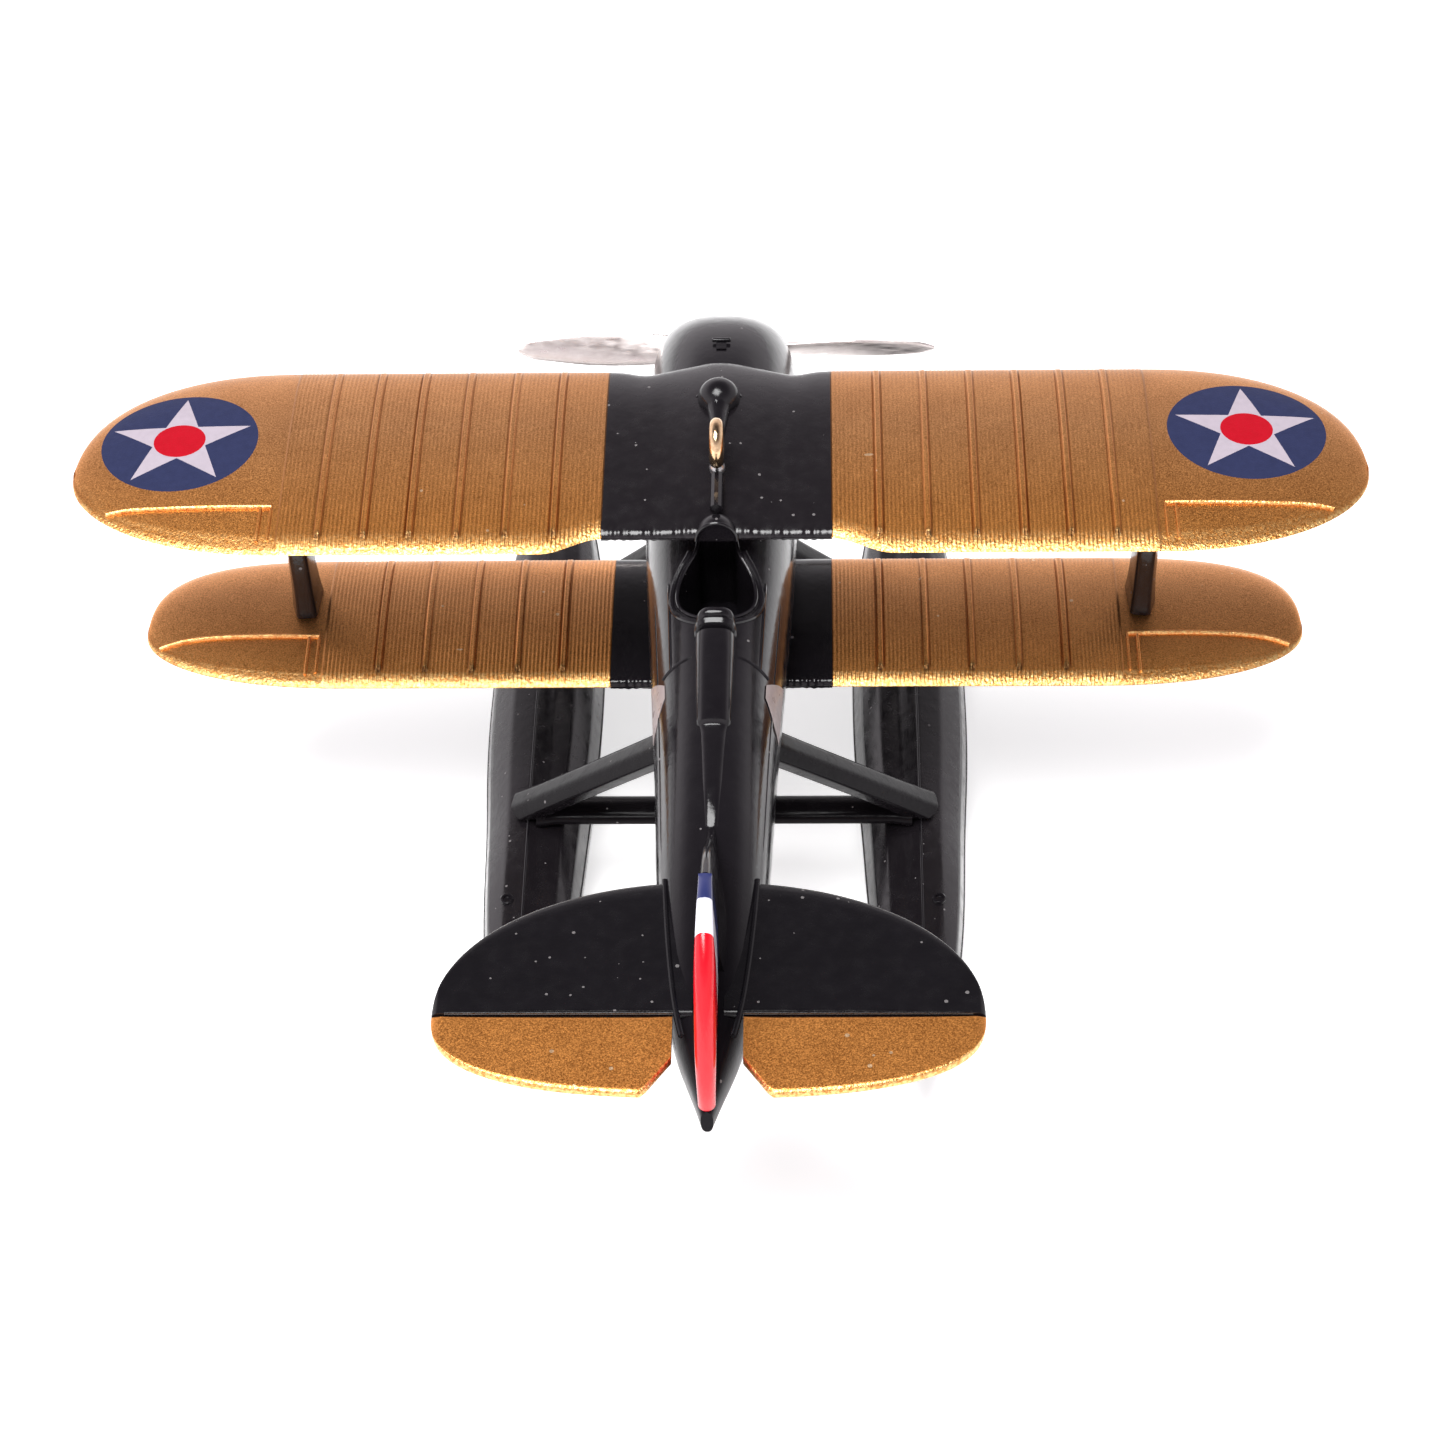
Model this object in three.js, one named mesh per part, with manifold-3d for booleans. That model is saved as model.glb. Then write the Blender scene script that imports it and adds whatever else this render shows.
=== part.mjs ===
// A small display model of a 1920s twin-float racing biplane, with a brass loop to hang it by.
// Millimetres. +Y is forwards, +X is starboard, +Z is up, and the float keels stand on z = 0.
import * as THREE from "three";
import { LoftGeometry } from "three/addons/geometries/LoftGeometry.js";
import { mergeVertices } from "three/addons/utils/BufferGeometryUtils.js";
import Module from "manifold-3d";

const wasm = await Module();
wasm.setup();

// Driving dimensions.
const GAP = 0.12; // glue line between neighbouring pieces
const WALL = 0.9; // moulded wall of the hollow pieces
const NOSE_JOINT = 27; // where the engine cowl meets the body halves
const SECTION_POINTS = 24; // corners of a body section
const THRUST_HEIGHT = 32;

const UPPER_WING = {
  tip: 56, lead: 24, trail: 0.2, base: 43.7, crown: 1.6, belly: 0.5,
  leadCurveFrom: 37.5, trailCurveFrom: 38, tipStation: 10.2, leadPower: 2.25, trailPower: 2,
};
const LOWER_WING = {
  tip: 52.3, lead: 20.2, trail: 3.7, base: 24.6, crown: 1.25, belly: 0.45,
  leadCurveFrom: 34, trailCurveFrom: 34, tipStation: 10.6, leadPower: 3, trailPower: 2.1,
};
const CENTRE_SECTION_HALF = 9.7; // black middle of the upper wing
const LOWER_ROOT_HALF = 9.8; // black roots of the lower wing
const TRAIL_NOTCH = { from: 15, to: CENTRE_SECTION_HALF, depth: 1.9 };

const TAIL = { height: 36.05, thickness: 0.9, tip: 21.2, hinge: -44.4, lead: -30.5, trail: -52.2 };
const FIN = { thickness: 1.7, rudderHinge: -40.6 };

const FLOAT = { offset: 17.5, split: 5.4, keelWidth: 1.2 };
const REAR_STRUT = {
  foot: [17.9, 2.7, 10.4], head: [2.6, -5.2, 27], half: 1.6, footChord: 2.6, headChord: 2.8,
};
const FRONT_STRUT = {
  foot: [17.9, 27.7, 10.4], head: [3.3, 22.2, 26.3], half: 0.9, footChord: 3.7, headChord: 3.9,
};
const STRUT_FLARE = { half: 0.1, chord: 0.4 }; // how much a float strut spreads at its ends
const INTERPLANE = {
  foot: [37.5, 14.2, 25.9], head: [37.9, 13.4, 43.1],
  half: 0.85, halfFlare: 0.35, chord: 4.6, chordFlare: 1.4,
};
const SPREADER = { reach: 15.9, height: 10.1, halfChord: 1.6, halfThickness: 0.85 };
const COWL_VENT = { radius: 0.8, station: 28.6, underside: 42.1, top: 43.8 };
const SHAFT_BEARING = { radius: 1.95, station: 39.7, length: 3.4, clearance: 0.08 };

const PROPELLER = { radius: 19.9, station: 42.3, bore: 0.95, shaft: 0.9, hub: 2.1 };
const LOOP = { station: 9.1, height: 48.2, radius: 1.55, wire: 0.65 };

// Materials.
function finish(color, roughness, metalness) {
  return new THREE.MeshStandardMaterial({ color, roughness, metalness });
}
const BLACK = finish(0x0c0b0d, 0.15, 0);
const GOLD = finish(0xb0732e, 0.4, 0.8);
const STRIPED = finish(0xd8202c, 0.2, 0);
const SILVER = finish(0xb9b2b2, 0.3, 0.9);
const BRASS = finish(0xc9a050, 0.2, 1);
const STEEL = finish(0x9a9ca0, 0.35, 1);

// Solids and booleans.
function solidOf(geometry) {
  const bare = new THREE.BufferGeometry().setAttribute("position", geometry.attributes.position);
  const merged = mergeVertices(bare.setIndex(geometry.index), 1e-4);
  const triVerts = new Uint32Array(merged.index.array);
  const vertProperties = merged.attributes.position.array;
  return new wasm.Manifold(new wasm.Mesh({ numProp: 3, vertProperties, triVerts }));
}

function geometryOf(solid) {
  const { vertProperties, triVerts } = solid.getMesh();
  const geometry = new THREE.BufferGeometry();
  geometry.setAttribute("position", new THREE.BufferAttribute(vertProperties, 3));
  return geometry.setIndex(new THREE.BufferAttribute(triVerts, 1));
}

// The same solid on the other side of x = 0. Reversing the index turns every face outwards again.
function mirrored(solid) {
  const geometry = geometryOf(solid).scale(-1, 1, 1);
  geometry.index.array.reverse();
  return solidOf(geometry);
}

const less = (solid, ...tools) => tools.reduce((left, tool) => left.subtract(tool), solid);

function block([x0, y0, z0], [x1, y1, z1]) {
  const box = new THREE.BoxGeometry(x1 - x0, y1 - y0, z1 - z0);
  return solidOf(box.translate((x0 + x1) / 2, (y0 + y1) / 2, (z0 + z1) / 2));
}

// A cylinder along x, y or z, centred on a point.
function rod(axis, radius, length, [x, y, z], sides = 24) {
  const cylinder = new THREE.CylinderGeometry(radius, radius, length, sides);
  if (axis === "x") cylinder.rotateZ(Math.PI / 2);
  if (axis === "z") cylinder.rotateX(Math.PI / 2);
  return solidOf(cylinder.translate(x, y, z));
}

// A flat outline in the x-y plane, raised from z0 to z1.
function prism(points, z0, z1) {
  const shape = new THREE.Shape(points.map(([x, y]) => new THREE.Vector2(x, y)));
  const slab = new THREE.ExtrudeGeometry(shape, { depth: z1 - z0, bevelEnabled: false });
  return solidOf(slab.translate(0, 0, z0));
}

// A side outline in the y-z plane, with its thickness centred on x = 0.
function sidePlate(points, thickness) {
  const shape = new THREE.Shape(points.map(([y, z]) => new THREE.Vector2(y, z)));
  const slab = new THREE.ExtrudeGeometry(shape, { depth: thickness, bevelEnabled: false });
  slab.translate(0, 0, -thickness / 2);
  slab.applyMatrix4(new THREE.Matrix4().set(0, 0, 1, 0, 1, 0, 0, 0, 0, 1, 0, 0, 0, 0, 0, 1));
  return solidOf(slab);
}

const loft = (sections) => solidOf(new LoftGeometry(sections, { capStart: true, capEnd: true }));

// A smooth curve of one value along the body.
function track(stations, values) {
  const curve = new THREE.CubicInterpolant(stations, values, 1);
  return (y) => curve.evaluate(y)[0];
}

const power = (value, exponent) => Math.sign(value) * Math.abs(value) ** exponent;

// Evenly spaced values from one end to the other, both included.
function steps(from, to, count) {
  return Array.from({ length: count }, (_, i) => from + ((to - from) * i) / (count - 1));
}

// Evenly spaced angles of one full turn.
const turns = (count) => steps(0, 2 * Math.PI, count + 1).slice(0, -1);

// The body: its half width, belly, spine and widest height at each station.
const BODY_STATIONS = [-52.5, -50, -46, -40, -33, -25, -16, -6, 2, 10, 18, 27, 31, 35, 38.5, 41.2];
const bodyHalf = track(
  BODY_STATIONS,
  [0.45, 1.2, 2.45, 3.55, 4.25, 4.7, 5.1, 5.65, 6.15, 6.6, 6.8, 6.85, 6.9, 6.75, 6.1, 4.7],
);
const bodyBelly = track(
  BODY_STATIONS,
  [32.2, 31.3, 30.1, 28.6, 27.2, 25.8, 24.7, 23.9, 23.5, 23.4, 23.4, 23.7, 24.2, 25.4, 27.2, 28.7],
);
const bodySpine = track(
  BODY_STATIONS,
  [34.4, 35.2, 36.1, 37, 37.9, 38.9, 39.7, 40.2, 41.2, 42.8, 43, 43.2, 42.8, 41.4, 39, 36.6],
);
const bodyWidest = track([-52.5, -30, 0, 27, 41.2], [33.4, 32.6, 32, 32.6, 32.2]);
const BODY_POWER = 2 / 2.5;

function bodySection(y, grow) {
  const half = Math.max(bodyHalf(y) + grow, 0.2);
  const middle = bodyWidest(y);
  const up = bodySpine(y) + grow - middle;
  const down = middle - bodyBelly(y) + grow;
  return turns(SECTION_POINTS).map((a) => {
    const rise = power(Math.sin(a), BODY_POWER);
    const reach = rise > 0 ? up : down;
    return new THREE.Vector3(-half * power(Math.cos(a), BODY_POWER), y, middle + rise * reach);
  });
}

const body = (from, to, grow, count = 16) => loft(steps(from, to, count).map((y) => bodySection(y, grow)));

// Cockpit outlines.
function pear(grow) {
  const widest = -1.2;
  const half = 3.25 + grow;
  const front = 5.4 + grow;
  const back = widest - half;
  const side = [
    [1.25 + grow, front],
    [1.6 + grow, 3.6],
    [2.6 + grow, 1.4],
    [half, widest],
    [half * 0.87, widest - half * 0.5],
    [half * 0.5, widest - half * 0.87],
  ];
  return [...side, [0, back], ...side.reverse().map(([x, y]) => [-x, y])];
}

function deckOutline(grow) {
  return [
    [4.4 + grow, 2 + grow],
    [-4.4 - grow, 2 + grow],
    [-4.6 - grow, -9 - grow],
    [-1.8, -7.2 - grow],
    [1.8, -7.2 - grow],
    [4.6 + grow, -9 - grow],
  ].reverse();
}

const DECK_SPLIT = 38.6; // underside of the cockpit deck
const TUB_FLOOR = 31.5;
const COCKPIT_FRONT = 1.7; // the opening stops short of the wing's trailing edge
const deckSpace = prism(deckOutline(GAP), DECK_SPLIT - GAP, 46);
const cockpitHole = prism(pear(0), TUB_FLOOR, 46);
const UPPER_JOINER = [0, 16, UPPER_WING.base + 0.5];
const LOWER_JOINER = [0, 13, LOWER_WING.base + 0.35];
const JOINER_RADIUS = 0.5;
const JOINER_LENGTH = 36;

function shells() {
  const skin = less(body(-52.5, NOSE_JOINT, 0, 20), body(-45, NOSE_JOINT + 1, -WALL, 16));
  const openings = [
    deckSpace,
    prism(pear(1.1), TUB_FLOOR - 1.1, 46),
    rod("x", JOINER_RADIUS + 0.1, 40, LOWER_JOINER),
    block([-20, -12, 42.9], [20, 24.2, 60]),
  ];
  const whole = less(skin, ...openings);
  return whole.intersect(block([GAP / 2, -60, 0], [20, 60, 60]));
}

function cockpitDeck() {
  const cover = body(-12, 2, 0, 8).intersect(prism(deckOutline(0), DECK_SPLIT, 46));
  const coaming = body(-7.4, COCKPIT_FRONT, 0.45, 6).intersect(prism(pear(0.85), DECK_SPLIT, 46));
  return less(cover.add(coaming), cockpitHole, headrestSpace(GAP));
}

function cockpitTub() {
  const roomy = prism(pear(0.9), TUB_FLOOR - 0.9, DECK_SPLIT - GAP);
  const hollow = prism(pear(0), TUB_FLOOR, 46);
  return less(roomy, hollow, block([-20, COCKPIT_FRONT + 2, 0], [20, 30, 60]));
}

// The seat back stands at the rear of the tub.
function seat() {
  const cushion = block([-1.6, -3.4, TUB_FLOOR + GAP], [1.6, 0.4, TUB_FLOOR + 1.6]);
  const side = [[-3.9, TUB_FLOOR + GAP], [-2.9, TUB_FLOOR + GAP], [-3.1, 38.2], [-3.9, 38.2]];
  return cushion.add(sidePlate(side, 3));
}

function headrestSpace(grow) {
  const profile = [
    [-16.3 - grow, 39],
    [-4.8 + grow, 39],
    [-4.8 + grow, 41.6 + grow],
    [-5.6, 42.3 + grow],
    [-8, 42.1 + grow],
    [-16.3 - grow, 40.7 + grow],
  ];
  return sidePlate(profile, 3.3 + 2 * grow);
}

const headrest = () => less(headrestSpace(0), body(-20, 0, GAP, 12));

// The engine cowl closes the nose and carries the bearing for the propeller shaft.
const COWL_FRONT = 41.2;
function engineCowl() {
  const outside = body(NOSE_JOINT + GAP, COWL_FRONT, 0, 10);
  const inside = body(NOSE_JOINT, COWL_FRONT - 1.6, -WALL, 9);
  const seat = rod("y", SHAFT_BEARING.radius + 0.1, 10, [0, COWL_FRONT, THRUST_HEIGHT]);
  return less(outside, inside, seat, cowlVent(GAP, 3));
}

// The vent's plug, or with a gap and a depth, the hole for it.
function cowlVent(grow, depth = 0) {
  const { radius, station, underside, top } = COWL_VENT;
  const height = top - underside + depth;
  return rod("z", radius + grow, height, [0, station, (top + underside - depth) / 2]);
}

function noseBearing() {
  const { radius, station, length, clearance } = SHAFT_BEARING;
  const bore = rod("y", PROPELLER.shaft + clearance, length + 2, [0, station, THRUST_HEIGHT]);
  return less(rod("y", radius, length, [0, station, THRUST_HEIGHT]), bore);
}

// Wings.
function aerofoil(x, { lead, trail, base, crown, belly }, share) {
  const points = 9;
  const chord = lead - trail;
  const bulge = (s) =>
    2.969 * Math.sqrt(s) - 1.26 * s - 3.516 * s ** 2 + 2.843 * s ** 3 - 1.036 * s ** 4;
  const at = (s, height) => new THREE.Vector3(x, lead - chord * s, base + height);
  const spread = steps(0, Math.PI, points).map((a) => (1 - Math.cos(a)) / 2);
  const over = spread.map((s) => at(s, share * (crown * bulge(s) + 0.18 * s)));
  const under = spread.slice(1).reverse().map((s) => at(s, -share * (belly * bulge(s) + 0.18 * s)));
  return [...over, ...under];
}

const curved = (x, from, tip, exponent) => {
  const u = Math.max((Math.abs(x) - from) / (tip - from), 0);
  return (1 - u ** exponent) ** (1 / exponent);
};

function leadAt(x, { tip, tipStation, lead, leadCurveFrom, leadPower }) {
  return tipStation + (lead - tipStation) * curved(x, leadCurveFrom, tip, leadPower);
}

function trailAt(x, { tip, tipStation, trail, trailCurveFrom, trailPower }) {
  return tipStation - (tipStation - trail) * curved(x, trailCurveFrom, tip, trailPower);
}

function wingPanel(wing, root, notch = () => 0) {
  const straight = steps(root, wing.leadCurveFrom, 6);
  const round = steps(0, 1, 9).slice(1).map((t) => {
    const reach = wing.tip - wing.leadCurveFrom;
    return wing.leadCurveFrom + reach * Math.sin((t * Math.PI) / 2) * 0.9995;
  });
  const sections = [...straight, ...round].map((x) => {
    const lead = leadAt(x, wing);
    const trail = trailAt(x, wing) + notch(x);
    const taper = Math.max((lead - trail) / (wing.lead - wing.trail), 0.12);
    return aerofoil(x, { ...wing, lead, trail }, taper ** 0.8);
  });
  return loft(sections);
}

// The trailing edge runs forward to meet the centre section.
function notchAt(x) {
  const { from, to, depth } = TRAIL_NOTCH;
  return depth * THREE.MathUtils.smoothstep(from - x, 0, from - to);
}

function upperPanel() {
  const bore = rod("x", JOINER_RADIUS + 0.1, JOINER_LENGTH + 2, UPPER_JOINER);
  return less(wingPanel(UPPER_WING, CENTRE_SECTION_HALF + GAP / 2, notchAt), bore);
}

// The middle of the upper wing swells into a hump over the body.
function centreSection() {
  const half = CENTRE_SECTION_HALF - GAP / 2;
  const sections = steps(-half, half, 13).map((x) => {
    const hump = Math.max(1 - Math.abs(x) / 5.2, 0);
    const swell = THREE.MathUtils.smoothstep(hump, 0, 1);
    const shape = { ...UPPER_WING, trail: UPPER_WING.trail + TRAIL_NOTCH.depth };
    return aerofoil(x, { ...shape, crown: shape.crown + 0.6 * swell }, 1);
  });
  const bore = rod("x", JOINER_RADIUS + 0.1, 30, UPPER_JOINER);
  const socket = rod("z", 0.75, 8, [0, LOOP.station, UPPER_WING.base + 4.2]);
  return less(loft(sections), bore, socket);
}

function teardrop() {
  const drop = new THREE.SphereGeometry(1.85, 20, 12);
  const points = drop.attributes.position;
  for (let i = 0; i < points.count; i++) {
    const y = points.getY(i);
    if (y < 0) points.setY(i, y * 1.9);
  }
  const whole = solidOf(drop.translate(0, 17.9, 45.9));
  const wing = block([-5, 5, 30], [5, 25, 46.15]);
  return less(whole, wing);
}

function hangerLoop() {
  const ring = new THREE.TorusGeometry(LOOP.radius, LOOP.wire, 8, 22).rotateY(Math.PI / 2);
  const stem = rod("z", 0.62, 2.6, [0, LOOP.station, UPPER_WING.base + 1.9], 16);
  const collar = rod("z", 1.05, 0.4, [0, LOOP.station, LOOP.height - LOOP.radius - LOOP.wire + 0.2], 20);
  return solidOf(ring.translate(0, LOOP.station, LOOP.height)).add(stem).add(collar);
}

function lowerPanel() {
  const bore = rod("x", JOINER_RADIUS + 0.1, JOINER_LENGTH + 2, LOWER_JOINER);
  return less(wingPanel(LOWER_WING, LOWER_ROOT_HALF + GAP / 2), bore);
}

function lowerRoot() {
  const stub = loft(steps(4.5, LOWER_ROOT_HALF - GAP / 2, 4).map((x) => aerofoil(x, LOWER_WING, 1)));
  return less(stub, body(-2, NOSE_JOINT, GAP, 10), rod("x", JOINER_RADIUS + 0.1, 40, LOWER_JOINER));
}

// A ring of an upright strut at one height.
function strutRing(centre, half, chord) {
  const [x, y, z] = centre;
  return turns(16).map((a) =>
    new THREE.Vector3(x + half * Math.cos(a), y + (chord / 2) * power(Math.sin(a), 0.8), z));
}

const between = (foot, head, t) => foot.map((value, i) => value + (head[i] - value) * t);

// The interplane strut is an I: wide where it meets either wing, narrow in the middle.
function interplaneStrut() {
  const { foot, head, half, halfFlare, chord, chordFlare } = INTERPLANE;
  const sections = steps(0, 1, 9).map((t) => {
    const flare = Math.abs(2 * t - 1) ** 3;
    return strutRing(between(foot, head, t), half + halfFlare * flare, chord + chordFlare * flare);
  });
  return less(loft(sections), ...wingsGrown);
}

const wingsGrown = [
  { ...UPPER_WING, belly: UPPER_WING.belly + GAP },
  { ...LOWER_WING, crown: LOWER_WING.crown + GAP },
].map((wing) => wingPanel(wing, 20));

// Tail.
function tailHalf() {
  const root = 0.2;
  const lead = (x) => TAIL.hinge + (TAIL.lead - TAIL.hinge) * curved(x, 0, TAIL.tip, 2.1);
  const trail = (x) => TAIL.hinge + (TAIL.trail - TAIL.hinge) * curved(x, 0, TAIL.tip, 2.6);
  const stations = steps(0, 0.98, 12).map((t) => root + (TAIL.tip - root) * Math.sin((t * Math.PI) / 2));
  const leading = stations.map((x) => [x, lead(x)]);
  const trailing = stations.map((x) => [x, Math.max(trail(x), TAIL.trail + 0.02)]);
  return { leading, trailing };
}

function stabiliser() {
  const { leading } = tailHalf();
  const root = [0.2, TAIL.hinge + GAP / 2];
  const outline = [root, [TAIL.tip, TAIL.hinge + GAP / 2], ...leading.reverse()];
  const slab = prism(outline, TAIL.height - TAIL.thickness / 2, TAIL.height + TAIL.thickness / 2);
  return less(slab, body(-52, -20, GAP, 16), block([-1.2, -60, 30], [1.2, 0, 60]));
}

function elevator() {
  const { trailing } = tailHalf();
  const rudderCut = [[2.7, TAIL.hinge - GAP / 2], [2.7, -48.8], [4.9, TAIL.trail]];
  const outline = [...rudderCut, ...trailing.filter(([x]) => x > 5), [TAIL.tip, TAIL.hinge - GAP / 2]];
  const slab = prism(outline, TAIL.height - TAIL.thickness / 2, TAIL.height + TAIL.thickness / 2);
  return less(slab, body(-52, -40, GAP, 12));
}

const FIN_EDGE = [[-26, 38.2], [-30, 40.6], [-34, 44.2], [-37.4, 46.9], [FIN.rudderHinge + GAP / 2, 48.2]];
const RUDDER_EDGE = [
  [FIN.rudderHinge - GAP / 2, 48.3],
  [-44, 48.4],
  [-47, 47],
  [-49.6, 44.2],
  [-51.4, 40.4],
  [-52.7, 34.6],
];

function fin() {
  const base = [[FIN.rudderHinge + GAP / 2, 35], [-26, 35]];
  return less(sidePlate([...FIN_EDGE, ...base], FIN.thickness), body(-52.5, -20, GAP, 18));
}

function rudder() {
  const base = [[-52.7, 33.6], [-50, 33.2], [FIN.rudderHinge - GAP / 2, 33.2]];
  return less(sidePlate([...RUDDER_EDGE, ...base], FIN.thickness), body(-52.5, -20, GAP, 18));
}

// Floats: half width, keel and deck heights along each hull.
const FLOAT_STATIONS = [-25.5, -20, -12, -4, 3, 12, 22, 32, 41, 48, 51.5, 52.7];
const floatHalf = track(FLOAT_STATIONS, [0.9, 2.6, 3.9, 4.45, 4.75, 5.25, 5.4, 5.1, 4.2, 2.7, 1.3, 0.6]);
const floatKeel = track(FLOAT_STATIONS, [6.4, 5.2, 3.3, 1.4, 0, 0, 0, 0.2, 2, 5, 7.2, 8.2]);
const floatDeck = track(FLOAT_STATIONS, [8.6, 9, 9.5, 9.9, 10.1, 10.2, 10.2, 10.2, 10.2, 10, 9.8, 9.5]);

function floatSection(y, grow) {
  const half = floatHalf(y) + grow;
  const keel = Math.max(floatKeel(y), 0) - grow;
  const deck = floatDeck(y) + grow;
  const chine = keel + (deck - keel) * 0.42;
  const flat = Math.min(FLOAT.keelWidth / 2, half * 0.5);
  const rise = deck - chine;
  const right = [
    [flat, keel],
    [half * 0.96, chine],
    [half, chine + rise * 0.35],
    [half * 0.86, deck - rise * 0.24],
  ];
  const left = right.map(([x, z]) => [-x, z]).reverse();
  const ridge = [half * 0.1, deck];
  return [...right, ridge, ...left].reverse().map(([x, z]) => new THREE.Vector3(FLOAT.offset + x, y, z));
}

const floatStations = [...FLOAT_STATIONS, 7.5, 17, 27, 36.5, 45].sort((a, b) => a - b);
const floatBody = (grow) => loft(floatStations.map((y) => floatSection(y, grow)));
const floatHollow = () =>
  loft(floatStations.filter((y) => y > -21 && y < 49).map((y) => floatSection(y, -WALL)));

function floatShell(low, high) {
  const slice = block([0, -60, low], [40, 60, high]);
  return less(floatBody(0).intersect(slice), floatHollow());
}

const floatHull = () => floatShell(-1, FLOAT.split - GAP / 2);
const floatDeckShell = () => less(floatShell(FLOAT.split + GAP / 2, 20), plugSpace(GAP));

const PLUG = [FLOAT.offset + 1.9, -8.2];

// The filler plug of a float, or with a gap, the hole for it.
function plugSpace(grow) {
  const whole = rod("z", 0.55 + grow, 3, [...PLUG, 9.5], 16);
  return whole.intersect(block([0, -20, 8.3 - grow], [40, 20, 9.9]));
}

function floatStrut({ foot, head, half, footChord, headChord }) {
  const sections = steps(0, 1, 5).map((t) => {
    const flare = Math.abs(2 * t - 1) ** 4;
    const chord = footChord + (headChord - footChord) * t + STRUT_FLARE.chord * flare;
    return strutRing(between(foot, head, t), half + STRUT_FLARE.half * flare, chord);
  });
  return less(loft(sections), floatBody(GAP), body(-20, NOSE_JOINT, GAP, 14));
}

// A bar that spreads the floats, fitted against their inner sides.
function spreaderBar(y) {
  const { reach, height, halfChord, halfThickness } = SPREADER;
  const ring = (x) => turns(16).map((a) =>
    new THREE.Vector3(x, y + halfChord * Math.cos(a), height + halfThickness * Math.sin(a)));
  const bar = loft([ring(-reach), ring(reach)]);
  return less(bar, floatBody(GAP), mirrored(floatBody(GAP)));
}

// Propeller, seen from behind, turns clockwise.
const BLADE_STATIONS = [1.2, 3, 6, 10, 14, 17.4, 19.2, PROPELLER.radius];
const bladeChord = track(BLADE_STATIONS, [1.5, 2.1, 2.8, 3.15, 2.9, 2.15, 1.3, 0.4]);
const bladeDepth = track(BLADE_STATIONS, [1.5, 1.1, 0.75, 0.6, 0.5, 0.42, 0.36, 0.3]);
const bladePitch = track(BLADE_STATIONS, [48, 42, 34, 27, 22, 19, 18, 17]);

function blade() {
  const sections = steps(BLADE_STATIONS[0], PROPELLER.radius, 13).map((r) => {
    const pitch = THREE.MathUtils.degToRad(bladePitch(r));
    return turns(14).map((a) => {
      const along = (bladeChord(r) / 2) * Math.cos(a);
      const across = (bladeDepth(r) / 2) * Math.sin(a);
      const z = -along * Math.cos(pitch) + across * Math.sin(pitch);
      const y = along * Math.sin(pitch) + across * Math.cos(pitch);
      return new THREE.Vector3(r, PROPELLER.station + y, THRUST_HEIGHT + z);
    });
  });
  return loft(sections);
}

function propeller() {
  const turned = geometryOf(blade()).translate(0, 0, -THRUST_HEIGHT).rotateY(Math.PI);
  const opposite = solidOf(turned.translate(0, 0, THRUST_HEIGHT));
  const hub = rod("y", PROPELLER.hub, 1.2, [0, PROPELLER.station, THRUST_HEIGHT]);
  const bore = rod("y", PROPELLER.bore, 4, [0, PROPELLER.station, THRUST_HEIGHT]);
  return less(hub.add(blade()).add(opposite), bore);
}

function spinner() {
  const profile = [[0, 0], [2, 0], [1.9, 0.7], [1.55, 1.4], [1, 2], [0.4, 2.4], [0, 2.5]];
  const cone = new THREE.LatheGeometry(profile.map(([r, y]) => new THREE.Vector2(r, y)), 28);
  const bore = rod("y", PROPELLER.bore, 2.4, [0, 43.2, THRUST_HEIGHT]);
  return less(solidOf(cone.translate(0, 43.05, THRUST_HEIGHT)), bore);
}

const propellerShaft = () => rod("y", PROPELLER.shaft, 8.2, [0, 40.1, THRUST_HEIGHT]);
const shaftCollar = () =>
  less(rod("y", 1.9, 1.2, [0, 37.1, THRUST_HEIGHT]), rod("y", PROPELLER.bore, 3, [0, 37.1, THRUST_HEIGHT]));

// The windscreen stands on the rear of the centre section, over the cockpit's front.
function windscreen() {
  const dome = new THREE.SphereGeometry(1, 18, 10).scale(1.75, 1.9, 1.9).translate(0, 2.6, 43.6);
  const glass = less(solidOf(dome), block([-9, -2, 30], [9, 2.05, 60]), block([-9, -2, 30], [9, 9, 44.25]));
  const seat = { ...UPPER_WING, trail: 2.1, crown: UPPER_WING.crown + GAP, base: UPPER_WING.base + GAP };
  return less(glass, loft(steps(-3, 3, 7).map((x) => aerofoil(x, seat, 1))));
}

// Assembly.
const model = new THREE.Group();

function place(name, solid, material) {
  const mesh = new THREE.Mesh(geometryOf(solid), material);
  mesh.name = name;
  model.add(mesh);
  return mesh;
}

function pair(makeName, solid, material) {
  place(makeName("starboard"), solid, material);
  place(makeName("port"), solid, material).scale.x = -1;
}

pair((side) => `body_half_${side}`, shells(), BLACK);
place("cockpit_deck", cockpitDeck(), BLACK);
place("cockpit_tub", cockpitTub(), BLACK);
place("pilot_seat", seat(), BLACK);
place("headrest_fairing", headrest(), BLACK);
place("windscreen", windscreen(), BLACK);
place("engine_cowl", engineCowl(), BLACK);
place("cowl_vent", cowlVent(0), BLACK);
place("nose_bearing", noseBearing(), BRASS);
place("upper_wing_centre", centreSection(), BLACK);
place("tank_fairing", teardrop(), BLACK);
place("hanger_loop", hangerLoop(), BRASS);
pair((side) => `upper_wing_${side}`, upperPanel(), GOLD);
place("upper_wing_joiner", rod("x", JOINER_RADIUS, JOINER_LENGTH, UPPER_JOINER, 16), STEEL);
pair((side) => `lower_wing_root_${side}`, lowerRoot(), BLACK);
pair((side) => `lower_wing_${side}`, lowerPanel(), GOLD);
place("lower_wing_joiner", rod("x", JOINER_RADIUS, JOINER_LENGTH, LOWER_JOINER, 16), STEEL);
pair((side) => `interplane_strut_${side}`, interplaneStrut(), BLACK);
pair((side) => `stabiliser_${side}`, stabiliser(), BLACK);
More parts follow.
